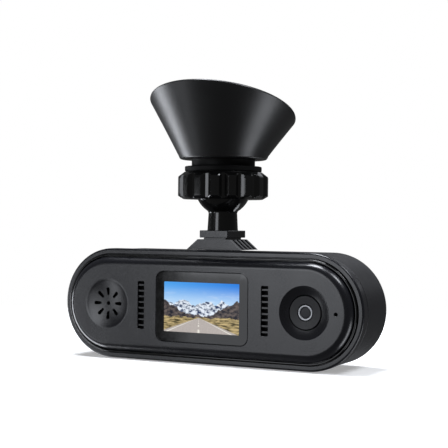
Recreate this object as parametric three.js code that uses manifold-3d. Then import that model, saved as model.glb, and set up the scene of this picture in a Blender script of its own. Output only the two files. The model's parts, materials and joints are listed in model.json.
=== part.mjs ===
// Dual dash camera on a ball-jointed suction mount, in millimetres, +Z up.
// The camera stands on its underside at z = 0, the mount's axis is the z axis, and the screen faces -Y.
import * as THREE from "three";
import { mergeVertices } from "three/addons/utils/BufferGeometryUtils.js";
import Module from "manifold-3d";

const wasm = await Module();
wasm.setup();

// ---- driving dimensions ----
const GAP = 0.3; // clearance between neighbouring pieces

const END_X = 40; // centre of each round end of the case
const FRAME_R = 20.5; // end radius of the bezel frame, the widest ring
const SHELL_R = 20.15; // end radius of the rear shell
const FACE_FLAT_R = 14.4; // where the face starts to roll over
const FACE_EDGE_R = 17.3; // outer edge of the face
const CASE_DEPTH = 28.4; // face to back
const FACE_TO_AXIS = 16.35; // face plane to the mount's axis
const WALL = 1.6;

const SPEAKER_R = 9.3;
const LENS_WELL_R = 9.35;
const LENS_BARREL_R = 5.85;
const WINDOW = { w: 37.1, h: 25.3, corner: 3, t: 0.8 };
const LCD_CELL = { w: 32.6, h: 20.6, t: 0.8 };
const VENT = { x: 25.1, w: 2.6, pitch: 2.1, bars: 8, bar: 0.6, h: 17.4 };
const MIC_X = 51.6;

const BUTTON = { w: 7, d: 4.2, t: 1.6, pitch: 12, count: 5, depth: 17.5 };
const ROAD_LENS = { housing: 12.5, barrel: 7.6, stand: 5.6 };

const RAIL = { neck: 8, head: 12, length: 12, neckH: 1.25, headH: 1.2 };
const SHOE = { top: 13, bottom: 22, depth: 14.8, z0: 41.15, z1: 44.9, ribs: 5, ribPitch: 3.2 };
const PLATE = { w: 11.7, d: 14.5, z0: 45.5, z1: 48.15 };
const BALL = { r: 10.4, z: 64.05 };
const STEM = { low: 5.75, high: 5.3 };

const NUT = { z0: 59.6, z1: 69.65, tip: 16.7, root: 15.3, bore: 13.45, teeth: 16, turn: 0.283 };
const SOCKET = { skirt: 13.1, flange: 14.2, neck: 11.7, spigot: 10.8, z: [65, 69.95, 71.7, 73.95, 76.6] };
const LINER = { inner: 10.7, outer: 11.05 };
const CUP = { inner: 11.35, outer: 11.8 };
const SOCKET_SPHERE = 12.1;

const RIM = { r: 27.1, y: -0.95, z: 91.2, shift: -0.38, tilt: THREE.MathUtils.degToRad(17.5) };
const DOME = { base: 16.4, z0: 74.25, z1: 75.2, wall: 1.8, floor: 76.9, edge: 1.2, lip: 1.9 };
const MEMBRANE = { r: 24.4, low: 1.65, high: 2.6 };
const LEVER = { pivotY: 15.5, pivotH: -4.3, w: 8, nose: 11.5, tip: 30.6, pad: 11, slotLow: -9.4, slotHigh: -2.2 };

// ---- materials ----
const material = (color, roughness, metalness = 0) =>
  new THREE.MeshStandardMaterial({ color, roughness, metalness });
const satinGrey = material(0x3d3e41, 0.5);
const glossBlack = material(0x0c0d0f, 0.15);
const mattBlack = material(0x1b1c1e, 0.55);
const rubberBlack = material(0x141414, 0.8);
const screenGlass = material(0x0a0b0d, 0.05);
const lcdPicture = material(0x4a8fd0, 0.3);
const lensGlass = material(0x0d1016, 0.02);
const brightMetal = material(0xc4c6c8, 0.25, 1);
const steel = material(0x8d9094, 0.3, 1);
const boardGreen = material(0x14502c, 0.5);
const nylon = material(0xd8d6cc, 0.5);

// ---- geometry helpers ----
// Drops the triangles that merging has shrunk to a line.
function withoutSlivers(index) {
  const kept = [];
  for (let i = 0; i < index.length; i += 3) {
    const [a, b, c] = index.slice(i, i + 3);
    if (a !== b && b !== c && c !== a) kept.push(a, b, c);
  }
  return kept;
}

function solid(geometry) {
  const bare = geometry.clone();
  bare.deleteAttribute("normal");
  bare.deleteAttribute("uv");
  const merged = mergeVertices(bare, 1e-4);
  const make = (triVerts) =>
    new wasm.Manifold(
      new wasm.Mesh({ numProp: 3, vertProperties: merged.attributes.position.array, triVerts }),
    );
  const triangles = new Uint32Array(withoutSlivers(merged.index.array));
  const made = make(triangles);
  return made.volume() < 0 ? make(triangles.reverse()) : made;
}

function geometryOf(manifold) {
  const mesh = manifold.getMesh();
  const geometry = new THREE.BufferGeometry();
  const position = new Float32Array(mesh.numVert * 3);
  for (let i = 0; i < mesh.numVert; i++) {
    position.set(mesh.vertProperties.subarray(i * mesh.numProp, i * mesh.numProp + 3), i * 3);
  }
  geometry.setAttribute("position", new THREE.BufferAttribute(position, 3));
  geometry.setIndex(new THREE.BufferAttribute(mesh.triVerts, 1));
  geometry.computeVertexNormals();
  return geometry;
}

const cut = (base, ...tools) => tools.reduce((left, tool) => left.subtract(tool), base);
const join = (first, ...others) => others.reduce((all, next) => all.add(next), first);

// A block from its centre and its sizes along x, y and z.
const block = (x, y, z, w, d, h) => solid(new THREE.BoxGeometry(w, d, h).translate(x, y, z));

// A round bar along "x", "y" or "z", from its centre.
function bar(x, y, z, r, length, axis, sides = 16) {
  const geometry = new THREE.CylinderGeometry(r, r, length, sides);
  if (axis === "x") geometry.rotateZ(Math.PI / 2);
  if (axis === "z") geometry.rotateX(Math.PI / 2);
  return solid(geometry.translate(x, y, z));
}

// A profile of [radius, depth] points turned about the y axis; a ring's profile closes on itself.
function turnedY(profile, sides) {
  const points = profile.map(([r, y]) => new THREE.Vector2(r, y));
  if (points[0].x > 0) points.push(points[0]);
  return solid(new THREE.LatheGeometry(points, sides));
}

// The same with [radius, height] points, turned about the z axis.
const turned = (profile, sides) => turnedY(profile, sides).rotate(90, 0, 0);

// A skin over rings that hold the same number of points, closed by flat ends or back onto itself.
function loft(rings, backToStart = false) {
  const count = rings[0].length;
  const position = rings.flat().flatMap((point) => point.toArray());
  const index = [];
  const last = backToStart ? rings.length : rings.length - 1;
  for (let k = 0; k < last; k++) {
    const a = k * count;
    const b = ((k + 1) % rings.length) * count;
    for (let i = 0; i < count; i++) {
      const j = (i + 1) % count;
      index.push(a + i, a + j, b + j, a + i, b + j, b + i);
    }
  }
  if (!backToStart) {
    const end = (rings.length - 1) * count;
    for (let i = 1; i < count - 1; i++) {
      index.push(0, i + 1, i, end, end + i, end + i + 1);
    }
  }
  const geometry = new THREE.BufferGeometry();
  geometry.setAttribute("position", new THREE.Float32BufferAttribute(position, 3));
  geometry.setIndex(index);
  return solid(geometry);
}

// The case's outline at one depth: two round ends joined by straight sides.
function caseRing([r, y], endX = END_X, steps = 12) {
  const ring = [];
  for (const side of [1, -1]) {
    for (let i = 0; i <= steps; i++) {
      const angle = (Math.PI * i) / steps - (side * Math.PI) / 2;
      ring.push(new THREE.Vector3(side * endX + r * Math.cos(angle), y, r * Math.sin(angle)));
    }
  }
  return ring;
}
const casePan = (profile) => loft(profile.map((point) => caseRing(point)));
const caseBand = (profile) => loft(profile.map((point) => caseRing(point)), true);

// A rounded rectangle in x and z, extruded along +y from depth y0.
function roundedPlate(w, h, corner, y0, thickness, x = 0, z = 0) {
  const shape = new THREE.Shape();
  const a = w / 2 - corner;
  const b = h / 2 - corner;
  const quarter = Math.PI / 2;
  [[a, b], [-a, b], [-a, -b], [a, -b]].forEach(([cx, cz], i) =>
    shape.absarc(cx, cz, corner, i * quarter, (i + 1) * quarter),
  );
  const options = { depth: thickness, bevelEnabled: false, curveSegments: 3 };
  const plate = new THREE.ExtrudeGeometry(shape, options).rotateX(Math.PI / 2);
  return solid(plate.translate(x, y0 + thickness, z));
}

// ---- scene graph ----
const object = new THREE.Group();
const caseGroup = new THREE.Group(); // y is the depth behind the face, z the height over the centre line
caseGroup.position.set(0, -FACE_TO_AXIS, FRAME_R);
const cupGroup = new THREE.Group(); // z points to the glass, y to the back along the rim
cupGroup.position.set(0, RIM.y, RIM.z);
cupGroup.rotation.x = -RIM.tilt;
object.add(caseGroup, cupGroup);

function add(group, name, manifold, finish, x = 0, y = 0, z = 0) {
  const mesh = new THREE.Mesh(geometryOf(manifold), finish);
  mesh.name = name;
  mesh.position.set(x, y, z);
  group.add(mesh);
}

// ---- camera case ----
const POST = { x: END_X + 10.4, z: 10.4, r: 2.4, bore: 1.3 };
const posts = [[1, 1], [-1, 1], [-1, -1], [1, -1]].map(([sx, sz]) => [sx * POST.x, sz * POST.z]);

function frontPanel() {
  const shelf = 5;
  let panel = casePan([
    [FACE_FLAT_R, 0], [15.6, 0.25], [16.5, 0.9], [17.1, 1.9], [FACE_EDGE_R, 3.1], [FACE_EDGE_R, shelf],
    [FACE_EDGE_R - WALL, shelf], [FACE_EDGE_R - WALL, 3], [14.2, WALL],
  ]);
  const windowSeat = roundedPlate(WINDOW.w + 0.4, WINDOW.h + 0.4, WINDOW.corner, -1, 2);
  const windowHole = roundedPlate(LCD_CELL.w + 2 * GAP, LCD_CELL.h + 2 * GAP, 1, -1, 4);
  panel = cut(panel, windowSeat, windowHole);

  const dish = turnedY([[0, 2.9], [SPEAKER_R + 1, 2.9], [SPEAKER_R + 1, 1], [0, 1]], 28);
  const dishHollow = turnedY([[0, -1], [SPEAKER_R, -1], [SPEAKER_R, 0], [8.4, 0.5], [6.2, 1], [0, 1.2]], 28);
  panel = cut(join(panel, dish.translate(-END_X, 0, 0)), dishHollow.translate(-END_X, 0, 0));
  for (let i = 0; i < 8; i++) {
    const slot = block(4.5, 2, 0, 2.5, 4, 0.8);
    panel = cut(panel, slot.rotate(0, i * 45, 0).translate(-END_X, 0, 0));
  }
  panel = cut(panel, bar(-END_X, 1, 0, 0.65, 6, "y", 8));

  const wellSeat = turnedY([[0, 3], [LENS_WELL_R + 1, 3], [LENS_WELL_R + 1, 1], [0, 1]], 28);
  const well = turnedY([[0, -1], [LENS_WELL_R, -1], [LENS_WELL_R, 0], [LENS_BARREL_R + GAP, 1.1],
    [LENS_BARREL_R + GAP, 4], [0, 4]], 28);
  panel = cut(join(panel, wellSeat.translate(END_X, 0, 0)), well.translate(END_X, 0, 0));
  panel = cut(panel, bar(MIC_X, 1, 0, 0.55, 6, "y", 8));

  const bars = VENT.bars;
  for (const side of [-1, 1]) {
    for (let i = 0; i <= bars; i++) {
      const low = i === 0 ? -VENT.h / 2 : (i - (bars + 1) / 2) * VENT.pitch + VENT.bar / 2;
      const high = i === bars ? VENT.h / 2 : (i + 1 - (bars + 1) / 2) * VENT.pitch - VENT.bar / 2;
      panel = cut(panel, block(side * VENT.x, 1, (low + high) / 2, VENT.w, 4, high - low));
    }
  }
  return panel;
}

function bezelFrame() {
  const seat = 5.3;
  const back = 7.3;
  const ring = caseBand([
    [18.5, 3.3], [19.9, 3.3], [20.35, 3.55], [FRAME_R, 4.1], [FRAME_R, back], [15.2, back],
    [15.2, seat], [18.5, seat],
  ]);
  const made = posts.map(([x, z]) => cut(
    bar(x, back + 8.3, z, POST.r, 17, "y", 12),
    bar(x, back + 12, z, POST.bore, 16, "y", 10),
  ));
  return join(ring, ...made);
}

function rearShell() {
  const front = 7.6;
  const inner = SHELL_R - 1.8;
  let shell = casePan([
    [17.0, CASE_DEPTH], [18.6, 27.9], [19.7, 26.9], [SHELL_R, 25.4], [SHELL_R, 8.5], [19.5, 8.5],
    [19.5, front], [inner, front], [inner, 25.4], [17.2, 26.6],
  ]);
  const backFace = CASE_DEPTH - 1;
  for (const [x, z] of posts) {
    shell = cut(shell, bar(x, backFace, z, 1.3, 8, "y", 10), bar(x, CASE_DEPTH + 0.3, z, 2.2, 3, "y", 12));
  }
  shell = cut(shell, bar(0, backFace, 0, ROAD_LENS.barrel + GAP, 8, "y", 24));
  for (let i = 0; i < BUTTON.count; i++) {
    const x = (i - (BUTTON.count - 1) / 2) * BUTTON.pitch;
    const hole = block(x, BUTTON.depth, -SHELL_R, BUTTON.w + 0.6, BUTTON.d + 0.6, 6);
    shell = cut(shell, hole);
  }
  for (const side of [-1, 1]) {
    for (let i = 0; i < 5; i++) {
      shell = cut(shell, block(side * 29, backFace, (i - 2) * 3.4, 16, 6, 1.5));
    }
    shell = cut(shell, bar(side * 3.6, RAIL_DEPTH, SHELL_R, 1.2, 8, "z", 12));
  }
  shell = cut(shell, block(-60, CARD_DEPTH, 0, 10, 1.5, 11.6));
  shell = cut(shell, block(-60, USB_DEPTH, 0, 10, 3.8, 9.6));
  return shell;
}

const RAIL_DEPTH = FACE_TO_AXIS;
const CARD_DEPTH = 12.35;
const USB_DEPTH = 17.6;

add(caseGroup, "front_panel", frontPanel(), satinGrey);
add(caseGroup, "trim_ring", caseBand([
  [17.62, 5], [17.62, 2.75], [17.8, 2.4], [18.05, 2.4], [18.2, 2.75], [18.2, 5],
]), glossBlack);
add(caseGroup, "bezel_frame", bezelFrame(), satinGrey);
add(caseGroup, "rear_shell", rearShell(), mattBlack);

// ---- screen ----
const windowPlate = roundedPlate(WINDOW.w, WINDOW.h, WINDOW.corner - 0.2, 0.1, WINDOW.t);
add(caseGroup, "display_window", windowPlate, screenGlass);
add(caseGroup, "lcd_cell", block(0, 1.6, 0, LCD_CELL.w, LCD_CELL.t, LCD_CELL.h), lcdPicture);
const lcdTray = cut(block(0, 3.7, 0, 35.6, 3, 23.6), block(0, 2.2, 0, 33.6, 2.2, 21.6));
add(caseGroup, "lcd_frame", lcdTray, steel);

// ---- speaker, behind the dish ----
const basket = turnedY([
  [0, 6.6], [5, 6.6], [8.6, 4], [8.6, 3.3], [9, 3.3], [9, 4.4], [5.4, 7], [4.6, 7], [4.6, 9], [0, 9],
], 20);
const speakerCone = turnedY([[0, 4.6], [2, 4.6], [8, 3.6], [8, 3.85], [2.2, 5.9], [0, 5.9]], 20);
add(caseGroup, "speaker_basket", basket, steel, -END_X);
add(caseGroup, "speaker_cone", speakerCone, mattBlack, -END_X);

// ---- vents and microphone ----
for (const [side, name] of [[-1, "left"], [1, "right"]]) {
  const mesh = block(side * VENT.x, 2.2, 0, VENT.w + 1.4, 0.6, VENT.h + 1.6);
  add(caseGroup, "vent_mesh_" + name, mesh, mattBlack);
}
add(caseGroup, "microphone", bar(MIC_X, 4.2, 0, 2, 1.8, "y", 12), steel);

// ---- cabin camera ----
const barrel = turnedY([
  [0, 3], [2.9, 3], [2.9, 1.5], [LENS_BARREL_R, 0.85], [LENS_BARREL_R, 6], [4.6, 6.4], [4.6, 9.2], [0, 9.2],
], 24);
add(caseGroup, "cabin_lens_barrel", barrel, satinGrey, END_X);
const lensRing = turnedY([[2.05, 2.6], [2.05, 1.3], [2.6, 1.2], [2.6, 2.6]], 20);
add(caseGroup, "cabin_lens_ring", lensRing, brightMetal, END_X);
const cabinGlass = turnedY([[0, 1.15], [1, 1.25], [1.75, 1.6], [1.75, 2.6], [0, 2.6]], 14);
add(caseGroup, "cabin_lens_glass", cabinGlass, lensGlass, END_X);
add(caseGroup, "cabin_sensor_board", block(0, 10.1, 0, 13, 1.2, 13), boardGreen, END_X);

// ---- main board ----
const BOARD_Y = 13.6;
function mainBoard() {
  const board = loft([13.1, 14.3].map((y) => caseRing([14.6, y], 30, 10)));
  const tongue = block(-49.6, 13.7, 0, 13.4, 1.2, 14);
  return join(board, tongue);
}
add(caseGroup, "main_board", mainBoard(), boardGreen);
add(caseGroup, "processor", block(20, BOARD_Y + 1.8, 0, 14, 1.6, 14), mattBlack);
let heatsink = block(20, 18.6, 0, 20, 4.2, 20);
for (let i = 0; i < 4; i++) {
  heatsink = cut(heatsink, block(20 + (i - 1.5) * 4.6, 20, 0, 2.2, 3.6, 22));
}
add(caseGroup, "heatsink", heatsink, brightMetal);
for (const [i, z] of [[1, 5.2], [2, -5.2]]) {
  add(caseGroup, "backup_capacitor_" + i, bar(40, 19, z, 4, 13, "x", 14), steel);
}
const cardSocket = cut(
  block(-50.3, CARD_DEPTH, 0, 12.6, 1.4, 14),
  block(-52, CARD_DEPTH + 0.1, 0, 14, 1.5, 11.6),
);
add(caseGroup, "card_socket", join(cardSocket, block(-44.7, CARD_DEPTH, 0, 1, 1.4, 14)), steel);
const memoryCard = cut(
  block(-52.8, CARD_DEPTH, 0, 15, 0.8, 11),
  block(-60.2, CARD_DEPTH - 0.5, 0, 1, 0.6, 9),
);
add(caseGroup, "memory_card", memoryCard, mattBlack);
const usb = cut(
  roundedPlate(8.9, 3.2, 1.4, 0, 7.4),
  roundedPlate(8.1, 2.4, 1.1, -1, 6.4),
);
const usbTongue = block(0, 3.5, 0, 6.4, 6.5, 0.7);
add(caseGroup, "usb_socket", join(usb, usbTongue).rotate(0, 90, 0).rotate(0, 0, -90).translate(-58.8, USB_DEPTH, 0),
  brightMetal);

// ---- buttons under the case ----
const CAP_TOP = -SHELL_R + 0.25 + BUTTON.t;
for (let i = 0; i < BUTTON.count; i++) {
  const x = (i - (BUTTON.count - 1) / 2) * BUTTON.pitch;
  const cap = join(
    block(0, 0, 0, BUTTON.w, BUTTON.d, BUTTON.t),
    block(0, 0, BUTTON.t / 2 + 0.75, BUTTON.w + 1.6, BUTTON.d + 1.6, 0.7),
    block(0, 0, BUTTON.t / 2 + 0.35, BUTTON.w, BUTTON.d, 0.8),
  );
  add(caseGroup, "button_" + (i + 1), cap, rubberBlack, x, BUTTON.depth, CAP_TOP - BUTTON.t / 2);
}
let buttonBoard = block(0, BUTTON.depth + 0.4, -14.4, 58, 6.2, 1);
for (let i = 0; i < BUTTON.count; i++) {
  const x = (i - (BUTTON.count - 1) / 2) * BUTTON.pitch;
  buttonBoard = join(buttonBoard, block(x, BUTTON.depth, -15.75, 3, 3, 1.9));
}
add(caseGroup, "button_board", buttonBoard, boardGreen);

// ---- road camera, at the back ----
const backY = CASE_DEPTH;
const housing = turnedY([
  [ROAD_LENS.barrel + GAP, backY + 0.3], [ROAD_LENS.housing, backY + 0.3], [ROAD_LENS.housing, backY + 3.6],
  [11.6, backY + 4.9], [10.4, backY + ROAD_LENS.stand], [9, backY + ROAD_LENS.stand],
  [ROAD_LENS.barrel + GAP, backY + 4.2],
], 28);
add(caseGroup, "road_lens_housing", housing, glossBlack);
const roadBarrel = turnedY([
  [0, 21.6], [6, 21.6], [6, 24], [ROAD_LENS.barrel, 24], [ROAD_LENS.barrel, backY + 3.6],
  [5.6, backY + 3], [5.6, backY + 1], [0, backY + 1],
], 24);
add(caseGroup, "road_lens_barrel", roadBarrel, mattBlack);
const roadGlass = turnedY([
  [0, backY + 1.3], [5.3, backY + 1.3], [5.3, backY + 2.4], [4.2, backY + 3.6], [2.4, backY + 4.4], [0, backY + 4.7],
], 18);
add(caseGroup, "road_lens_glass", roadGlass, lensGlass);
add(caseGroup, "road_sensor_board", block(0, 20.6, 0, 17, 1.2, 17), boardGreen);

// ---- case screws ----
posts.forEach(([x, z], i) => {
  const screw = join(bar(0, 0, 0, 1, 8, "y", 10), bar(0, 4.4, 0, 1.9, 1, "y", 12));
  add(caseGroup, "case_screw_" + (i + 1), screw, steel, x, CASE_DEPTH - 5, z);
});

// ---- rail on top of the case ----
const CASE_TOP = FRAME_R + SHELL_R;
const railLow = CASE_TOP + 0.05;
const rail = cut(
  join(
    block(0, 0.8, railLow + RAIL.neckH / 2, RAIL.neck, RAIL.length, RAIL.neckH),
    block(0, 0.8, railLow + RAIL.neckH + RAIL.headH / 2, RAIL.head, RAIL.length, RAIL.headH),
  ),
  bar(-3.6, 0, CASE_TOP, 0.9, 3.4, "z", 12),
  bar(3.6, 0, CASE_TOP, 0.9, 3.4, "z", 12),
);
add(object, "mount_rail", rail, mattBlack);
[-3.6, 3.6].forEach((x, i) => {
  const screw = join(bar(0, 0, 0, 0.6, 3.4, "z", 8), bar(0, 0, -2.1, 1.9, 1, "z", 10));
  add(object, "rail_screw_" + (i + 1), screw, steel, x, 0, CASE_TOP - 0.6);
});

// ---- shoe that slides on the rail ----
function mountShoe() {
  const half = SHOE.depth / 2;
  const wedge = (grow, y0, depth) => {
    const shape = new THREE.Shape();
    shape.moveTo(-SHOE.bottom / 2 - grow, SHOE.z0);
    shape.lineTo(SHOE.bottom / 2 + grow, SHOE.z0);
    shape.lineTo(SHOE.top / 2 + grow, SHOE.z1);
    shape.lineTo(-SHOE.top / 2 - grow, SHOE.z1);
    const geometry = new THREE.ExtrudeGeometry(shape, { depth, bevelEnabled: false });
    return solid(geometry.rotateX(Math.PI / 2).translate(0, y0 + depth, 0));
  };
  let shoe = wedge(-0.6, -half, SHOE.depth);
  for (let i = 0; i < SHOE.ribs; i++) {
    shoe = join(shoe, wedge(0, (i - (SHOE.ribs - 1) / 2) * SHOE.ribPitch - 0.8, 1.6));
  }
  const neckTop = railLow + RAIL.neckH - 0.3;
  const slotTop = railLow + RAIL.neckH + RAIL.headH + GAP;
  return cut(
    shoe,
    block(0, 2, (SHOE.z0 + neckTop) / 2 - 1, RAIL.neck + 2 * GAP, SHOE.depth, neckTop - SHOE.z0 + 2.2),
    block(0, 2, (neckTop + slotTop) / 2, RAIL.head + 2 * GAP, SHOE.depth, slotTop - neckTop),
    bar(0, -3.9, SHOE.z1 - 0.5, 1.0, 6, "z", 12),
    bar(0, 3.9, SHOE.z1 - 0.5, 1.0, 6, "z", 12),
  );
}
add(object, "mount_shoe", mountShoe(), satinGrey);

function ballStem() {
  const meet = BALL.z - Math.sqrt(BALL.r ** 2 - STEM.high ** 2);
  const arc = [];
  const steps = 10;
  const from = Math.asin(STEM.high / BALL.r);
  for (let i = 0; i <= steps; i++) {
    const angle = from + ((Math.PI - from) * i) / steps;
    arc.push([i === steps ? 0 : BALL.r * Math.sin(angle), BALL.z - BALL.r * Math.cos(angle)]);
  }
  const ballAndStem = turned([[0, PLATE.z1 - 1], [STEM.low, PLATE.z1 - 1], [STEM.low, PLATE.z1],
    [STEM.high, meet], ...arc.slice(1)], 28);
  const plate = block(0, 0, (PLATE.z0 + PLATE.z1) / 2, PLATE.w, PLATE.d, PLATE.z1 - PLATE.z0);
  const foot = block(0, 0, PLATE.z0 - 0.1, PLATE.w - 2.2, PLATE.d - 2.2, 0.5);
  const holes = [-3.9, 3.9].map((y) => bar(0, y, PLATE.z0 + 0.4, 0.9, 2.4, "z", 8));
  return cut(join(plate, foot, ballAndStem), ...holes);
}
add(object, "ball_stem", ballStem(), glossBlack);
[-3.9, 3.9].forEach((y, i) => {
  const screw = bar(0, 0, 0, 0.6, 2.6, "z", 8);
  add(object, "shoe_screw_" + (i + 1), screw, steel, 0, y, PLATE.z0 - 0.4);
});

// ---- ball joint ----
// A spherical cap between two radii, from the pole down to an angle.
function sphericalCap(inner, outer, angle) {
  const steps = 5;
  const profile = [];
  for (let i = 0; i <= steps; i++) {
    const a = (angle * i) / steps;
    profile.push([i ? outer * Math.sin(a) : 0, BALL.z + outer * Math.cos(a)]);
  }
  for (let i = steps; i >= 0; i--) {
    const a = (angle * i) / steps;
    profile.push([i ? inner * Math.sin(a) : 0, BALL.z + inner * Math.cos(a)]);
  }
  return turned(profile, 20);
}
const capAngle = THREE.MathUtils.degToRad(52);
add(object, "ball_liner", sphericalCap(LINER.inner, LINER.outer, capAngle), nylon);
add(object, "pressure_cup", sphericalCap(CUP.inner, CUP.outer, capAngle), steel);

function socket() {
  const [low, flangeLow, flangeHigh, neckHigh, top] = SOCKET.z;
  const inside = [];
  const steps = 6;
  const start = Math.acos((low - BALL.z) / SOCKET_SPHERE);
  for (let i = 0; i <= steps; i++) {
    const a = start * (1 - i / steps);
    inside.push([i === steps ? 0 : SOCKET_SPHERE * Math.sin(a), BALL.z + SOCKET_SPHERE * Math.cos(a)]);
  }
  const body = turned([
    [0, top], [SOCKET.spigot, top], [SOCKET.spigot, neckHigh], [SOCKET.neck, neckHigh], [SOCKET.neck, flangeHigh],
    [SOCKET.flange, flangeHigh], [SOCKET.flange, flangeLow], [SOCKET.skirt, flangeLow], [SOCKET.skirt, low],
    ...inside,
  ], 28);
  return cut(body, bar(-7.5, 0, top, 0.9, 5, "z", 8), bar(7.5, 0, top, 0.9, 5, "z", 8));
}
add(object, "ball_socket", socket(), glossBlack);

// The nylon ring that the nut draws up under the ball.
const ringLow = 60.65;
const ringHigh = 64;
const ringInside = [];
for (let i = 0; i <= 5; i++) {
  const z = ringHigh + ((ringLow - ringHigh) * i) / 5;
  ringInside.push([Math.sqrt(LINER.inner ** 2 - (z - BALL.z) ** 2), z]);
}
add(object, "clamp_ring", turned([[NUT.bore - GAP, ringLow], [NUT.bore - GAP, ringHigh], ...ringInside], 24), nylon);

function clampNut() {
  const shape = new THREE.Shape();
  const pitch = (2 * Math.PI) / NUT.teeth;
  const outline = [[NUT.tip, -0.21], [NUT.tip, 0.21], [NUT.root, 0.4], [NUT.root, 0.6]];
  for (let i = 0; i < NUT.teeth; i++) {
    outline.forEach(([r, share], k) => {
      const angle = (i + share) * pitch - Math.PI / 2 + NUT.turn;
      const point = [r * Math.cos(angle), r * Math.sin(angle)];
      if (i === 0 && k === 0) shape.moveTo(...point);
      else shape.lineTo(...point);
    });
  }
  const height = NUT.z1 - NUT.z0;
  const knurl = solid(new THREE.ExtrudeGeometry(shape, { depth: height, bevelEnabled: false }).translate(0, 0, NUT.z0));
  const blank = turned([
    [0, NUT.z0], [14.6, NUT.z0], [NUT.tip + 0.1, NUT.z0 + 1.2], [NUT.tip + 0.1, NUT.z1 - 1.9],
    [14.3, NUT.z1], [0, NUT.z1],
  ], 32);
  const bore = turned([
    [0, NUT.z0 - 1], [10.6, NUT.z0 - 1], [10.6, NUT.z0], [9.8, NUT.z0 + 0.75], [NUT.bore, NUT.z0 + 0.75],
    [NUT.bore, NUT.z1 + 1], [0, NUT.z1 + 1],
  ], 28);
  return cut(knurl.intersect(blank), bore);
}
add(object, "clamp_nut", clampNut(), glossBlack);

// ---- suction head ----
const DOME_SIDES = 36;
const toGlass = new THREE.Vector3(0, Math.sin(RIM.tilt), Math.cos(RIM.tilt));
const alongRim = new THREE.Vector3(0, Math.cos(RIM.tilt), -Math.sin(RIM.tilt));
function levelRing(r, z) {
  return Array.from({ length: DOME_SIDES }, (_, i) => {
    const angle = (2 * Math.PI * i) / DOME_SIDES;
    return new THREE.Vector3(r * Math.cos(angle), r * Math.sin(angle), z);
  });
}
function rimRing(r, h) {
  return Array.from({ length: DOME_SIDES }, (_, i) => {
    const angle = (2 * Math.PI * i) / DOME_SIDES;
    return new THREE.Vector3(0, RIM.y, RIM.z)
      .addScaledVector(alongRim, r * Math.sin(angle) + RIM.shift)
      .addScaledVector(toGlass, h)
      .add(new THREE.Vector3(r * Math.cos(angle), 0, 0));
  });
}
// Turns a solid given in the cup's frame into the object's frame.
const fromCup = (manifold) =>
  manifold.rotate(-THREE.MathUtils.radToDeg(RIM.tilt), 0, 0).translate(0, RIM.y, RIM.z);

function suctionHousing() {
  const { base, z0, z1, wall, floor, edge, lip } = DOME;
  const shell = loft([
    levelRing(14.4, z0), levelRing(15.8, z0 + 0.3), levelRing(base, z1), rimRing(RIM.r, edge),
    rimRing(RIM.r - 0.15, edge + 0.4), rimRing(RIM.r - 0.5, lip), rimRing(RIM.r - 1.9, lip),
    rimRing(RIM.r - 2, 0.2), levelRing(base - wall, floor),
  ]);
  const spigotHole = bar(0, 0, 76, SOCKET.spigot + GAP, 6, "z", 28);
  const leverSlot = fromCup(block(0, 23, (LEVER.slotLow + LEVER.slotHigh) / 2, LEVER.pad + 1.2, 12,
    LEVER.slotHigh - LEVER.slotLow));
  return cut(shell, spigotHole, leverSlot);
}
add(object, "suction_housing", suctionHousing(), mattBlack);

// The socket hangs from a clamp disc on the housing's floor, drawn down by two screws.
const discLow = DOME.floor + GAP;
const disc = cut(
  bar(0, 0, discLow + 0.5, 12.4, 1, "z", 24),
  bar(-7.5, 0, discLow, 1, 6, "z", 8),
  bar(7.5, 0, discLow, 1, 6, "z", 8),
);
add(object, "clamp_disc", disc, steel);
[-7.5, 7.5].forEach((x, i) => {
  const screw = join(bar(0, 0, 0, 0.6, 3.4, "z", 8), bar(0, 0, 2.1, 1.7, 0.9, "z", 10));
  add(object, "socket_screw_" + (i + 1), screw, steel, x, 0, discLow - 0.3);
});

// Pieces in the cup's frame: x across, y to the back along the rim, z to the glass.
const membrane = turned([
  [0, MEMBRANE.low], [MEMBRANE.r - 0.6, MEMBRANE.low], [MEMBRANE.r, MEMBRANE.low + 0.35],
  [MEMBRANE.r - 0.2, MEMBRANE.high - 0.2], [MEMBRANE.r - 0.7, MEMBRANE.high], [0, MEMBRANE.high],
], 40);
add(cupGroup, "suction_membrane", membrane, rubberBlack);

// The lever's nose draws the plunger's flange down and holds the membrane hollow.
const plunger = turned([
  [0, -6.2], [12.2, -6.2], [12.2, -5.5], [2.6, -5.5], [2.6, 0.2], [8.5, 0.2], [8.5, 1.3], [0, 1.3],
], 24);
add(cupGroup, "plunger", plunger, nylon);

const ears = [-1, 1].map((side) => block(side * (LEVER.w / 2 + 1.6), LEVER.pivotY, -4, 2, 4.4, 4.2));
const guidePlate = cut(
  join(bar(0, 0, -1.7, 22.6, 1.4, "z", 36), ...ears),
  bar(0, 0, -1.7, 2.9, 4, "z", 16),
  block(0, LEVER.pivotY - 1.4, -2, LEVER.w + 0.6, 6.6, 4),
  bar(0, LEVER.pivotY, LEVER.pivotH, 1.3, 20, "x", 12),
);
add(cupGroup, "guide_plate", guidePlate, mattBlack);
add(cupGroup, "lever_pin", bar(0, LEVER.pivotY, LEVER.pivotH, 1, 13, "x", 12), steel);

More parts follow.
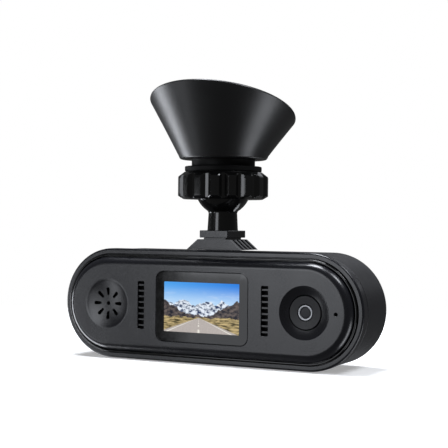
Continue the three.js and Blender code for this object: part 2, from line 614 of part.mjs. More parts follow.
function lockLever() {
  const shape = new THREE.Shape();
  const { pivotY, pivotH, nose, tip, w, pad } = LEVER;
  shape.moveTo(nose, pivotH - 0.7);
  shape.lineTo(pivotY - 1, pivotH - 1.7);
  shape.lineTo(pivotY + 1, pivotH - 1.7);
  shape.lineTo(tip - 4, pivotH - 1);
  shape.lineTo(tip - 0.6, pivotH - 1.6);
  shape.lineTo(tip, pivotH - 0.8);
  shape.lineTo(tip - 0.4, pivotH + 0.8);
  shape.lineTo(tip - 4, pivotH + 1);
  shape.lineTo(pivotY + 1, pivotH + 1.7);
  shape.lineTo(pivotY - 1, pivotH + 1.7);
  shape.lineTo(nose, pivotH);
  const options = { depth: w, bevelEnabled: false };
  const arm = new THREE.ExtrudeGeometry(shape, options).rotateX(Math.PI / 2).rotateZ(Math.PI / 2);
  const finger = block(0, tip - 2.4, pivotH - 0.3, pad, 3.4, 1.8);
  return cut(join(solid(arm.translate(-w / 2, 0, 0)), finger), bar(0, pivotY, pivotH, 1.3, 20, "x", 12));
}
add(cupGroup, "lock_lever", lockLever(), mattBlack);

export default object;
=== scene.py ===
import json
import math
import bpy
import bmesh
from mathutils import Matrix, Vector


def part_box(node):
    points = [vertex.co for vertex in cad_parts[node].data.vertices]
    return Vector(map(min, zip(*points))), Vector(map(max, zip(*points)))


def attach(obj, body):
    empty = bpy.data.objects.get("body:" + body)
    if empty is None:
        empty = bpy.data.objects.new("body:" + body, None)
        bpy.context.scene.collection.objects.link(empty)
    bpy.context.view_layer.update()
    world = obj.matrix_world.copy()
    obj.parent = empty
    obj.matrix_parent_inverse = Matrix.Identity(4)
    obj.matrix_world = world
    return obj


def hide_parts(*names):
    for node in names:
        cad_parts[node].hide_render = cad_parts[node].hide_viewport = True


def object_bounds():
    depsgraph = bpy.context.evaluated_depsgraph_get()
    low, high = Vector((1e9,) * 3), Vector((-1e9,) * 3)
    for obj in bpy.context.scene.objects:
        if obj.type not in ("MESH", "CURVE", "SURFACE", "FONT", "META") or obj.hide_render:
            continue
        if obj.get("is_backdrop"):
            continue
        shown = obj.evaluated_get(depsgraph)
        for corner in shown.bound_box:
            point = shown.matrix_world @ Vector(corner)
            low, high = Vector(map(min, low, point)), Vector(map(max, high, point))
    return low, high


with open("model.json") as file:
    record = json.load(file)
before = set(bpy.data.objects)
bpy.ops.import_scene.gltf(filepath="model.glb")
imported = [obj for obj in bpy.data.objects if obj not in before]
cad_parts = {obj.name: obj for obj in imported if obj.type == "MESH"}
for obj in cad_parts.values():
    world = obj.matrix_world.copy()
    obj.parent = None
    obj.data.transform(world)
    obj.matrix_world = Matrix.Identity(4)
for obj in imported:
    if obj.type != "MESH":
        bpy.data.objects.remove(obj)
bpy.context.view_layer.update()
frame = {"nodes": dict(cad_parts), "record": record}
nodes = frame["nodes"]
mm = 0.001
print("frame loaded:", len(nodes), "nodes")

# places taken from the frame
bezelLow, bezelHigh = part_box("bezel_frame")
panelLow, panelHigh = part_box("front_panel")
faceY = panelLow.y / mm  # the flat face
midZ = (bezelLow.z + bezelHigh.z) / 2 / mm  # centre line of the case
frameR = (bezelHigh.z - bezelLow.z) / 2 / mm
endX = bezelHigh.x / mm - frameR  # centre of each round end
barrelLow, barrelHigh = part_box("cabin_lens_barrel")
basketLow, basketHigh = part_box("speaker_basket")
lensX = (barrelLow.x + barrelHigh.x) / 2 / mm
speakerX = (basketLow.x + basketHigh.x) / 2 / mm
glassMount = next(m for m in frame["record"]["mounts"] if m["name"] == "glass_face")
toGlass = Vector(glassMount["axis"]).normalized()
alongRim = Vector((0, toGlass.z, -toGlass.y))
membraneTop = 2.6  # the membrane's face over the rim's plane
rimCentre = Vector(glassMount["pos_m"]) / mm - toGlass * membraneTop


def inCase(x, depth, height):  # a point behind the face and over the centre line
    return Vector((x, faceY + depth, midZ + height))


def inCup(x, y, height):  # a point in the suction head's tilted frame
    return rimCentre + Vector((x, 0, 0)) + alongRim * y + toGlass * height


# shader helpers
def addNode(tree, kind, inputs=None, **settings):
    node = tree.nodes.new(kind)
    for key, value in settings.items():
        setattr(node, key, value)
    for key, value in (inputs or {}).items():
        if isinstance(value, bpy.types.NodeSocket):
            tree.links.new(value, node.inputs[key])
        else:
            node.inputs[key].default_value = value
    return node


def newMaterial(name):
    material = bpy.data.materials.new(name)
    material.use_nodes = True
    material.node_tree.nodes.clear()
    return material, material.node_tree


def finishMaterial(tree, shader):
    addNode(tree, "ShaderNodeOutputMaterial", {"Surface": shader})


def mathNode(tree, operation, a, b=0.0, clamp=False):
    return addNode(tree, "ShaderNodeMath", {0: a, 1: b}, operation=operation, use_clamp=clamp).outputs[0]


def remap(tree, value, fromLow, fromHigh, toLow=0.0, toHigh=1.0, smooth=False):
    kind = "SMOOTHSTEP" if smooth else "LINEAR"
    sizes = {"Value": value, "From Min": fromLow, "From Max": fromHigh, "To Min": toLow, "To Max": toHigh}
    return addNode(tree, "ShaderNodeMapRange", sizes, interpolation_type=kind).outputs["Result"]


def noiseAt(tree, place, size, detail=3.0, rough=0.5):  # size is one lump's width in mm
    made = addNode(tree, "ShaderNodeTexNoise", {"Vector": place, "Scale": 1 / (size * mm), "Detail": detail,
        "Roughness": rough})
    return made.outputs[0]


def mixColour(tree, factor, a, b, blend="MIX"):
    node = addNode(tree, "ShaderNodeMix", data_type="RGBA", blend_type=blend)
    for socket, value in ((node.inputs[0], factor), (node.inputs[6], a), (node.inputs[7], b)):
        if isinstance(value, bpy.types.NodeSocket):
            tree.links.new(value, socket)
        else:
            socket.default_value = value
    return node.outputs[2]


def grey(value):
    return (value, value, value, 1)


def shadeOf(colour, share):  # the same colour, darker or lighter
    return [c * share for c in colour[:3]] + [1]


# moulded, rubber and metal finishes
def mouldedFinish(name, look):
    material, tree = newMaterial(name)
    place = addNode(tree, "ShaderNodeTexCoord").outputs["Object"]
    grain = noiseAt(tree, place, look["grain"], 2.0, 0.6)
    cloud = noiseAt(tree, place, look.get("cloud", 9.0), 4.0, 0.55)
    edge = addNode(tree, "ShaderNodeNewGeometry").outputs["Pointiness"]
    worn = mathNode(tree, "MULTIPLY", remap(tree, edge, 0.515, 0.6), remap(tree, cloud, 0.35, 0.65),
        clamp=True)
    worn = mathNode(tree, "MULTIPLY", worn, look.get("wear", 0.5))
    patchy = mixColour(tree, remap(tree, cloud, 0.3, 0.7), look["colour"],
        shadeOf(look["colour"], look.get("shade", 0.9)))
    colour = mixColour(tree, worn, patchy, shadeOf(look["colour"], 1.9))
    broad = remap(tree, cloud, 0.3, 0.7, look["rough"] - look["vary"], look["rough"] + look["vary"])
    rough = mathNode(tree, "ADD", broad, remap(tree, grain, 0.3, 0.7, -0.03, 0.03), clamp=True)
    bump = addNode(tree, "ShaderNodeBump", {"Height": grain, "Strength": look["bump"],
        "Distance": look["grain"] * mm * 0.3})
    shader = addNode(tree, "ShaderNodeBsdfPrincipled", {"Base Color": colour, "Roughness": rough,
        "Normal": bump.outputs[0], "Metallic": look.get("metal", 0.0),
        "Specular IOR Level": look.get("specular", 0.5), "Coat Weight": look.get("coat", 0.0),
        "Coat Roughness": look.get("coatRough", 0.1)})
    finishMaterial(tree, shader.outputs[0])
    return material


# name: label, colour, roughness and its spread, grain in mm, bump strength, and what else differs
mouldings = {
    "satinGrey": ("Satin grey moulding", (0.0075, 0.0078, 0.0105, 1), 0.25, 0.025, 0.16, 0.1, {}),
    "rollGloss": ("Polished black moulding", grey(0.0045), 0.13, 0.02, 0.5, 0.02, {"wear": 0.3}),
    "shellBlack": ("Grained shell", (0.0095, 0.0098, 0.0118, 1), 0.42, 0.04, 0.22, 0.3, {"specular": 0.42}),
    "domeBlack": ("Satin dome", (0.0045, 0.0046, 0.005, 1), 0.34, 0.02, 0.2, 0.06, {}),
    "lensGrey": ("Lens front moulding", (0.014, 0.0144, 0.0165, 1), 0.34, 0.02, 0.14, 0.1,
        {"specular": 0.25}),
    "matteBlack": ("Matte black moulding", grey(0.0035), 0.55, 0.03, 0.2, 0.1, {"specular": 0.12}),
    "rubberBlack": ("Soft rubber", grey(0.014), 0.62, 0.05, 0.3, 0.2, {"specular": 0.35}),
    "buttonRubber": ("Button rubber", grey(0.02), 0.55, 0.04, 0.18, 0.25, {}),
    "chipBlack": ("Chip epoxy", grey(0.016), 0.5, 0.05, 0.1, 0.3, {}),
    "meshBlack": ("Acoustic mesh", grey(0.004), 0.9, 0.03, 0.12, 0.6, {"specular": 0.2}),
    "nylon": ("Natural nylon", (0.62, 0.6, 0.54, 1), 0.42, 0.05, 0.4, 0.1, {"wear": 0.0}),
    "steel": ("Plain steel", (0.5, 0.5, 0.51, 1), 0.3, 0.08, 0.12, 0.15, {"metal": 1.0, "wear": 0.1}),
    "brightMetal": ("Bright metal", (0.72, 0.73, 0.74, 1), 0.22, 0.05, 0.1, 0.1, {"metal": 1.0, "wear": 0.1}),
    "lensRing": ("Dull lens ring", (0.34, 0.345, 0.36, 1), 0.42, 0.04, 0.1, 0.05,
        {"metal": 1.0, "wear": 0.1}),
    "board": ("Solder mask", (0.01, 0.09, 0.03, 1), 0.35, 0.05, 0.6, 0.2, {"shade": 0.6}),
    "screenBlack": ("Screen border", grey(0.005), 0.09, 0.01, 4.0, 0.004, {"wear": 0.0, "specular": 0.45}),
}
finishes = {}
for key, (label, colour, rough, vary, grain, bump, more) in mouldings.items():
    look = {"colour": colour, "rough": rough, "vary": vary, "grain": grain, "bump": bump, **more}
    finishes[key] = mouldedFinish(label, look)


def lensFinish(name, look):
    material, tree = newMaterial(name)
    paintedSheenFacing = addNode(tree, "ShaderNodeLayerWeight", {"Blend": 0.35}).outputs["Facing"]
    place = addNode(tree, "ShaderNodeTexCoord").outputs["Object"]
    dust = noiseAt(tree, place, 0.8, 3.0)
    # painted sheen: the colour turns from the centre colour to the brighter rim colour where the lens is seen
    # edge-on, standing in for reflected light
    colour = mixColour(tree, paintedSheenFacing, look["centre"], look["rim"])
    rough = remap(tree, dust, 0.3, 0.8, look["rough"], look["rough"] + 0.04)
    shader = addNode(tree, "ShaderNodeBsdfPrincipled", {"Base Color": colour, "Roughness": rough,
        "Coat Weight": 0.0, "Specular IOR Level": look["specular"]})
    finishMaterial(tree, shader.outputs[0])
    return material


# each lens's rim colour is a painted sheen, shown where the lens is seen edge-on
finishes["cabinGlass"] = lensFinish("Cabin lens coating", {"centre": (0.035, 0.036, 0.04, 1),
    "rim": (0.05, 0.05, 0.06, 1), "rough": 0.4, "specular": 0.22})
finishes["roadGlass"] = lensFinish("Road lens coating", {"centre": (0.004, 0.006, 0.012, 1),
    "rim": (0.05, 0.02, 0.07, 1), "rough": 0.04, "specular": 1.0})


# the lit picture: an open road to far hills
pictureLook = {"width": 30.5, "height": 18.0, "glow": 1.0}


def pictureFinish(look):
    material, tree = newMaterial("Lit picture")

    def times(a, b):
        return mathNode(tree, "MULTIPLY", a, b)

    def minus(a, b):
        return mathNode(tree, "SUBTRACT", a, b)

    split = addNode(tree, "ShaderNodeSeparateXYZ", {0: addNode(tree, "ShaderNodeTexCoord").outputs["Object"]})
    across = mathNode(tree, "ADD", times(split.outputs[0], 1 / (look["width"] * mm)), 0.5)
    bottom = (midZ - look["height"] / 2) * mm
    up = times(minus(split.outputs[2], bottom), 1 / (look["height"] * mm))

    def ridge(seed, scale, low, high, detail=4.0):  # a ridge line's height along the picture
        along = addNode(tree, "ShaderNodeCombineXYZ", {0: times(across, scale), 1: seed}).outputs[0]
        hill = noiseAt(tree, along, 1 / mm, detail, 0.55)
        return remap(tree, hill, 0.3, 0.7, low, high)

    def grainOf(scale, stretch=1.0, detail=5.0):
        spot = addNode(tree, "ShaderNodeCombineXYZ", {0: times(across, scale),
            1: times(up, scale * stretch)}).outputs[0]
        return noiseAt(tree, spot, 1 / mm, detail, 0.6)

    def under(line, soft=0.008):  # 1 below a line, 0 above it
        return remap(tree, minus(line, up), -soft, soft, smooth=True)

    fromRoad = mathNode(tree, "ABSOLUTE", minus(across, 0.47))
    skyTop = mixColour(tree, across, (0.07, 0.36, 0.85, 1), (0.01, 0.2, 0.75, 1))
    sky = mixColour(tree, remap(tree, up, 0.5, 1.0, smooth=True), (0.5, 0.72, 0.95, 1), skyTop)
    cloudy = remap(tree, grainOf(4.0, 2.5), 0.52, 0.72, 0.0, 0.55)
    sky = mixColour(tree, times(cloudy, remap(tree, up, 0.9, 0.5)), sky, (0.85, 0.9, 0.96, 1))
    snow = mixColour(tree, remap(tree, grainOf(18.0, 0.9, 9.0), 0.42, 0.55), (0.02, 0.04, 0.11, 1),
        (0.8, 0.87, 0.96, 1))
    picture = mixColour(tree, under(ridge(3.7, 6.0, 0.53, 0.7, 6.0)), sky, snow)
    sideRise = times(remap(tree, fromRoad, 0.16, 0.5), 0.3)
    slopes = mixColour(tree, remap(tree, grainOf(16.0, 1.2, 8.0), 0.4, 0.66), (0.012, 0.013, 0.022, 1),
        (0.17, 0.135, 0.12, 1))
    slopeLine = mathNode(tree, "ADD", sideRise, ridge(9.1, 9.0, 0.28, 0.42, 7.0))
    picture = mixColour(tree, under(slopeLine), picture, slopes)
    grass = mixColour(tree, remap(tree, grainOf(9.0, 3.6, 8.0), 0.4, 0.6), (0.06, 0.05, 0.02, 1),
        (0.6, 0.46, 0.22, 1))
    picture = mixColour(tree, under(ridge(1.3, 12.0, 0.28, 0.34)), picture, grass)
    # the road widens from its far point towards the lower edge
    drop = minus(0.3, up)
    halfWidth = mathNode(tree, "ADD", times(drop, 1.7), 0.004)
    onRoad = times(remap(tree, minus(halfWidth, fromRoad), -0.01, 0.01), under(0.3, 0.004))
    tar = mixColour(tree, grainOf(60.0, 0.5), (0.36, 0.32, 0.3, 1), (0.58, 0.53, 0.5, 1))
    picture = mixColour(tree, onRoad, picture, tar)
    edgeGap = mathNode(tree, "ABSOLUTE", minus(fromRoad, times(halfWidth, 0.84)))
    line = remap(tree, edgeGap, times(halfWidth, 0.05), 0.0)
    dash = remap(tree, mathNode(tree, "SINE", mathNode(tree, "DIVIDE", 2.2,
        mathNode(tree, "MAXIMUM", drop, 0.01))), -0.2, 0.2)
    middle = times(remap(tree, fromRoad, times(halfWidth, 0.05), 0.0), dash)
    paint = mathNode(tree, "MULTIPLY", mathNode(tree, "MAXIMUM", line, middle), onRoad, clamp=True)
    picture = mixColour(tree, paint, picture, (0.86, 0.84, 0.76, 1))
    shader = addNode(tree, "ShaderNodeBsdfPrincipled", {"Base Color": (0.004, 0.004, 0.004, 1),
        "Roughness": 0.16, "Specular IOR Level": 0.12, "Emission Color": picture,
        "Emission Strength": look["glow"]})
    finishMaterial(tree, shader.outputs[0])
    return material


finishes["picture"] = pictureFinish(pictureLook)
print("finishes made:", len(finishes))


# mesh helpers, all in mm until a piece is finished
def filleted(points, closed=False, steps=6):
    made = []
    for i, (a, b, *rest) in enumerate(points):
        here = Vector((a, b))
        if not rest or (not closed and i in (0, len(points) - 1)):
            made.append(here)
            continue
        back = Vector(points[i - 1][:2]) - here
        ahead = Vector(points[(i + 1) % len(points)][:2]) - here
        half = back.angle(ahead) / 2
        reach = min(rest[0] / math.tan(half), 0.49 * back.length, 0.49 * ahead.length)
        start, stop = here + back.normalized() * reach, here + ahead.normalized() * reach
        centre = here + (back.normalized() + ahead.normalized()).normalized() * (reach / math.cos(half))
        for k in range(steps + 1):
            spoke = (start - centre).lerp(stop - centre, k / steps)
            made.append(centre + spoke.normalized() * (start - centre).length)
    return made


def skin(bm, rings, wrap=False):
    rows = [[bm.verts.new(point) for point in ring] for ring in rings]
    pairs = list(zip(rows, rows[1:]))
    if wrap:
        pairs.append((rows[-1], rows[0]))
    for lower, upper in pairs:
        for i in range(len(lower)):
            j = (i + 1) % len(lower)
            bm.faces.new((lower[i], lower[j], upper[j], upper[i]))
    if not wrap:
        bm.faces.new(rows[0][::-1])
        bm.faces.new(rows[-1])


def caseRing(r, depth, steps):  # the case's outline, with round ends
    ring = []
    for side in (1, -1):
        for i in range(steps + 1):
            angle = math.pi * i / steps - side * math.pi / 2
            ring.append(inCase(side * endX + r * math.cos(angle), depth, r * math.sin(angle)))
    return ring


def caseSkin(profile, wrap=False, steps=40):
    bm = bmesh.new()
    skin(bm, [caseRing(r, depth, steps) for r, depth in profile], wrap)
    return bm


def turnedSkin(profile, toPlace, sides=64, wrap=False):
    bm = bmesh.new()
    rings = []
    for r, h in profile:
        spokes = [2 * math.pi * i / sides for i in range(sides)]
        rings.append([toPlace(r * math.cos(a), r * math.sin(a), h) for a in spokes])
    skin(bm, rings, wrap)
    return bm


def behindFace(x, z=0.0):  # turns round an axis into the case, heights being depths behind the face
    return lambda a, b, h: inCase(x + a, h, z + b)


def onFace(a, b, h):  # laid on the face, heights being depths behind it
    return inCase(a, h, b)


def alongDepth(a, b, h):  # a cutter or fastener that points into the case, still at the origin
    return Vector((a, h, b))


def aboveFloor(a, b, h):  # turns round the mount's axis
    return Vector((a, b, h))


def sized(size, grow, depth):  # a layer of a rounded plate, grown by a margin on every side
    return (size[0] + 2 * grow, size[1] + 2 * grow, size[2] + grow, depth)


def roundedRect(width, height, corner, steps=6):
    points = []
    for i, (sx, sy) in enumerate(((1, 1), (-1, 1), (-1, -1), (1, -1))):
        for k in range(steps + 1):
            angle = math.pi / 2 * (i + k / steps)
            points.append((sx * (width / 2 - corner) + corner * math.cos(angle),
                sy * (height / 2 - corner) + corner * math.sin(angle)))
    return points


def plateSkin(layers, toPlace, wrap=False, steps=6):
    bm = bmesh.new()
    skin(bm, [[toPlace(a, b, h) for a, b in roundedRect(w, d, corner, steps)] for w, d, corner, h in layers],
        wrap)
    return bm


def meshObject(name, bm):
    bmesh.ops.remove_doubles(bm, verts=bm.verts, dist=1e-5)
    bmesh.ops.recalc_face_normals(bm, faces=bm.faces)
    mesh = bpy.data.meshes.new(name)
    bm.to_mesh(mesh)
    bm.free()
    mesh.transform(Matrix.Scale(mm, 4))
    made = bpy.data.objects.new(name, mesh)
    bpy.context.scene.collection.objects.link(made)
    return made


def applyModifiers(piece):
    graph = bpy.context.evaluated_depsgraph_get()
    graph.update()
    finished = bpy.data.meshes.new_from_object(piece.evaluated_get(graph), preserve_all_data_layers=True,
        depsgraph=graph)
    piece.modifiers.clear()
    old, piece.data = piece.data, finished
    bpy.data.meshes.remove(old)
    finished.name = piece.name


def combine(piece, others, operation="DIFFERENCE"):
    for other in others:
        modifier = piece.modifiers.new("Combine", "BOOLEAN")
        modifier.operation, modifier.solver, modifier.object = operation, "EXACT", other
    applyModifiers(piece)
    for other in others:
        bpy.data.objects.remove(other)


def softenEdges(piece, width, segments):
    modifier = piece.modifiers.new("Soft edges", "BEVEL")
    modifier.width, modifier.segments, modifier.limit_method = width * mm, segments, "ANGLE"
    modifier.angle_limit = math.radians(35)
    applyModifiers(piece)


def finishPiece(piece, finish, body, replaced=(), smooth=32):
    mesh = piece.data
    mesh.materials.clear()
    mesh.materials.append(finishes[finish])
    mesh.polygons.foreach_set("material_index", [0] * len(mesh.polygons))
    mesh.polygons.foreach_set("use_smooth", [True] * len(mesh.polygons))
    mesh.set_sharp_from_angle(angle=math.radians(smooth))
    modifier = piece.modifiers.new("Even shading", "WEIGHTED_NORMAL")
    modifier.keep_sharp = True
    applyModifiers(piece)
    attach(piece, body)
    if replaced:
        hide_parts(*replaced)
    return piece


# copies along a line, round an axis or in rows
repeatInputs = (("Piece", "NodeSocketObject"), ("Count", "NodeSocketInt"), ("Start", "NodeSocketVector"),
    ("Step", "NodeSocketVector"), ("Turn", "NodeSocketVector"), ("Rows", "NodeSocketInt"),
    ("Row Step", "NodeSocketVector"), ("Finish", "NodeSocketMaterial"))


def repeatTree(name, cuts):
    tree = bpy.data.node_groups.new(name, "GeometryNodeTree")
    tree.interface.new_socket("Geometry", in_out="INPUT", socket_type="NodeSocketGeometry")
    for label, kind in repeatInputs:
        tree.interface.new_socket(label, in_out="INPUT", socket_type=kind)
    tree.interface.new_socket("Geometry", in_out="OUTPUT", socket_type="NodeSocketGeometry")
    given = tree.nodes.new("NodeGroupInput").outputs
    rows = addNode(tree, "GeometryNodeMeshLine", {"Count": given["Rows"], "Offset": given["Row Step"]})
    line = addNode(tree, "GeometryNodeMeshLine", {"Count": given["Count"], "Start Location": given["Start"],
        "Offset": given["Step"]})
    number = tree.nodes.new("GeometryNodeInputIndex").outputs[0]
    turned = addNode(tree, "ShaderNodeVectorMath", {0: given["Turn"], "Scale": number},
        operation="SCALE").outputs[0]
    source = addNode(tree, "GeometryNodeObjectInfo", {"Object": given["Piece"]}).outputs["Geometry"]
    copies = addNode(tree, "GeometryNodeInstanceOnPoints", {"Points": line.outputs[0], "Instance": source,
        "Rotation": turned})
    whole = addNode(tree, "GeometryNodeInstanceOnPoints", {"Points": rows.outputs[0],
        "Instance": copies.outputs[0]})
    solid = addNode(tree, "GeometryNodeRealizeInstances", {0: whole.outputs[0]}).outputs[0]
    joined = addNode(tree, "GeometryNodeMergeByDistance", {"Geometry": solid, "Distance": 1e-6}).outputs[0]
    if cuts:
        carved = addNode(tree, "GeometryNodeMeshBoolean", {"Mesh 1": given["Geometry"], "Mesh 2": joined},
            operation="DIFFERENCE", solver="EXACT")
        joined = addNode(tree, "GeometryNodeRealizeInstances", {0: carved.outputs[0]}).outputs[0]
    painted = addNode(tree, "GeometryNodeSetMaterial", {"Geometry": joined,
        "Material": given["Finish"]}).outputs[0]
    addNode(tree, "NodeGroupOutput", {0: painted})
    return tree


copyTree, carveTree = repeatTree("Copies", False), repeatTree("Carved copies", True)


def repeat(piece, tree, source, count, start=(0, 0, 0), step=(0, 0, 0), turn=(0, 0, 0), rows=1,
        rowStep=(0, 0, 0)):
    modifier = piece.modifiers.new("Repeat", "NODES")
    modifier.node_group = tree
    values = {"Piece": source, "Count": count, "Start": [v * mm for v in start],
        "Step": [v * mm for v in step], "Turn": list(turn), "Rows": rows,
        "Row Step": [v * mm for v in rowStep], "Finish": finishes["satinGrey"]}
    for item in tree.interface.items_tree:
        if item.in_out == "INPUT" and item.name in values:
            modifier[item.identifier] = values[item.name]
    applyModifiers(piece)
    bpy.data.objects.remove(source)
    return piece


def emptyPiece(name):
    return meshObject(name, bmesh.new())


def boxCutter(x, y, z, w, d, h):  # centre and sizes, in the part's frame
    bm = bmesh.new()
    bmesh.ops.create_cube(bm, size=1, matrix=Matrix.Translation((x, y, z)) @ Matrix.Diagonal((w, d, h, 1)))
    return meshObject("cutter", bm)


# front panel
frontLook = {"flatR": 14.35, "edgeR": 17.3, "edgeDepth": 3.1, "skirt": 5.0, "wall": 1.6, "dishR": 9.7,
    "dishDepth": 1.3, "bossR": 10.3, "pinR": 0.75, "wellR": 9.35, "wellDepth": 1.25, "barrelR": 6.15,
    "micX": 51.65, "micR": 0.55, "ventX": 25.1, "ventWidth": 2.62, "ventPitch": 2.1, "ventBar": 0.6,
    "ventHeight": 17.4, "ventSink": 0.45, "windowWidth": 37.1, "windowHeight": 25.3, "windowCorner": 2.9,
    "openingWidth": 33.2, "openingHeight": 21.2, "speakerSlots": 8, "ventSlots": 7}
frameSize = (frontLook["windowWidth"], frontLook["windowHeight"], frontLook["windowCorner"])


def buildFrontPanel(look):
    flatR, edgeR, edgeDepth = look["flatR"], look["edgeR"], look["edgeDepth"]
    profile = [(flatR, 0.0)]
    for k in range(1, 13):  # the face rolls over in a quarter turn
        angle = math.pi / 2 * k / 12
        profile.append((flatR + (edgeR - flatR) * math.sin(angle), edgeDepth * (1 - math.cos(angle))))
    inner = edgeR - look["wall"]
    profile += [(edgeR, look["skirt"]), (inner, look["skirt"]), (inner, 3.0), (14.2, look["wall"])]
    panel = meshObject("frontPanel", caseSkin(profile))
    boss = [(0, 1), (look["bossR"], 1), (look["bossR"], 3), (0, 3)]
    backs = [meshObject("boss", turnedSkin(boss, behindFace(x), 96)) for x in (speakerX, lensX)]
    combine(panel, backs, "UNION")

    dish = [(0, -1), (look["dishR"], -1), (look["dishR"], -0.02)]
    for k in range(1, 11):
        t = k / 10
        dish.append((look["dishR"] * (1 - t), look["dishDepth"] * math.sin(t * math.pi / 2) ** 0.8))
    well = [(0, -1), (look["wellR"], -1), (look["wellR"], -0.02), (look["wellR"] - 0.03, 0.03), (7.9, 0.75),
        (look["barrelR"], look["wellDepth"]), (look["barrelR"], 4), (0, 4)]
    margins = ((0.3, -1.0), (0.3, -0.02), (0.08, 0.16), (0.08, 1.0))
    seat = plateSkin([sized(frameSize, grow, depth) for grow, depth in margins], onFace, steps=10)
    mic = [(0, -1), (look["micR"] + 0.2, -1), (look["micR"] + 0.2, 0), (look["micR"], 0.2),
        (look["micR"], 4), (0, 4)]
    pin = [(0, 0), (look["pinR"], 0), (look["pinR"], 4), (0, 4)]
    opening = boxCutter(0, faceY + 1.4, midZ, look["openingWidth"], 4, look["openingHeight"])
    combine(panel, [meshObject("cutter", seat), opening, meshObject("cutter",
        turnedSkin(mic, behindFace(look["micX"]), 24)), meshObject("cutter",
        turnedSkin(pin, behindFace(speakerX), 24))])
    combine(panel, [meshObject("cutter", turnedSkin(dish, behindFace(speakerX), 96)),
        meshObject("cutter", turnedSkin(well, behindFace(lensX), 96))])

    # speaker slots, wider at their outer ends
    slot = bmesh.new()
    outline = [(3.1, 0.46), (5.4, 0.7), (5.85, 0.5), (6.0, 0.0), (5.85, -0.5), (5.4, -0.7), (3.1, -0.46),
        (2.92, 0.0)]
    skin(slot, [[Vector((a, h, b)) for a, b in outline] for h in (0, 4)])
    count = look["speakerSlots"]
    panel = repeat(panel, carveTree, meshObject("slot", slot), count, (speakerX, faceY, midZ),
        turn=(0, 2 * math.pi / count, 0))

    # each vent column is a shallow pocket with slots through its floor
    ventX, ventWidth, ventHeight, pitch = (look[k] for k in ("ventX", "ventWidth", "ventHeight", "ventPitch"))
    column, toRight = (ventWidth, ventHeight, 0.2), (2 * ventX, 0, 0)
    layers = [sized(column, 0.1, -1), sized(column, 0.1, 0), sized(column, 0, 0.12),
        sized(column, 0, look["ventSink"])]
    pocket = meshObject("pocket", plateSkin(layers, alongDepth, steps=2))
    panel = repeat(panel, carveTree, pocket, 2, (-ventX, faceY, midZ), toRight)
    shy = 0.03  # keeps the end slots off the pocket's own edge
    gap, count = boxCutter(0, 1.5, 0, ventWidth - 0.02, 3, pitch - look["ventBar"]), look["ventSlots"]
    panel = repeat(panel, carveTree, gap, count, (-ventX, faceY, midZ - (count - 1) / 2 * pitch),
        (0, 0, pitch), rows=2, rowStep=toRight)
    endTall = ventHeight / 2 - count / 2 * pitch - look["ventBar"] / 2 - shy
    endAt = (ventHeight - endTall) / 2 - shy
    gap = boxCutter(0, 1.5, 0, ventWidth - 0.02, 3, endTall)
    panel = repeat(panel, carveTree, gap, 2, (-ventX, faceY, midZ - endAt), (0, 0, 2 * endAt), rows=2,
        rowStep=toRight)
    finishPiece(panel, "satinGrey", "camera", ("front_panel",), smooth=28)
    return panel


frontPanel = buildFrontPanel(frontLook)
print("front panel:", len(frontPanel.data.polygons), "faces")

# rings round the face and the rear shell
ringLook = {"beadInner": 17.55, "beadOuter": 18.3, "beadFront": 2.35, "frameInner": 18.5, "frameFront": 3.3,
    "frameBack": 7.3, "frameSeat": 15.2, "frameRound": 0.75}
beadInner, beadOuter, beadFront, frameInner, frameFront, frameBack, frameSeat, frameRound = ringLook.values()
bead = filleted([(beadInner, 5.0), (beadInner, beadFront, 0.3), (beadOuter, beadFront, 0.42),
    (beadOuter, 5.0)], steps=8)
finishPiece(meshObject("trimRing", caseSkin(bead, wrap=True, steps=64)), "rollGloss", "camera",
    ("trim_ring",))

bezel = filleted([(frameSeat, 5.3), (frameInner, 5.3), (frameInner, frameFront, 0.22),
    (frameR, frameFront, frameRound), (frameR, frameBack, 0.3), (frameSeat, frameBack)], closed=True, steps=6)
finishPiece(meshObject("bezelFrame", caseSkin(bezel, wrap=True, steps=64)), "satinGrey", "camera",
    ("bezel_frame",))

shellLook = {"r": 20.15, "back": 28.4, "backRound": 3.2, "front": 8.5, "neckR": 19.5, "neckFront": 7.6,
    "inner": 18.35, "louvreX": 29.0, "louvreWidth": 16.0, "louvreHeight": 1.5, "louvrePitch": 3.4,
    "louvres": 5, "postX": 50.4, "postZ": 10.4, "buttonPitch": 12.0, "buttons": 5, "buttonDepth": 17.5,
    "cardDepth": 12.35, "plugDepth": 17.6}


def intoEnd(a, b, h):  # laid across the case's left end, at the plug's depth
    return inCase(h, shellLook["plugDepth"] + b, a)


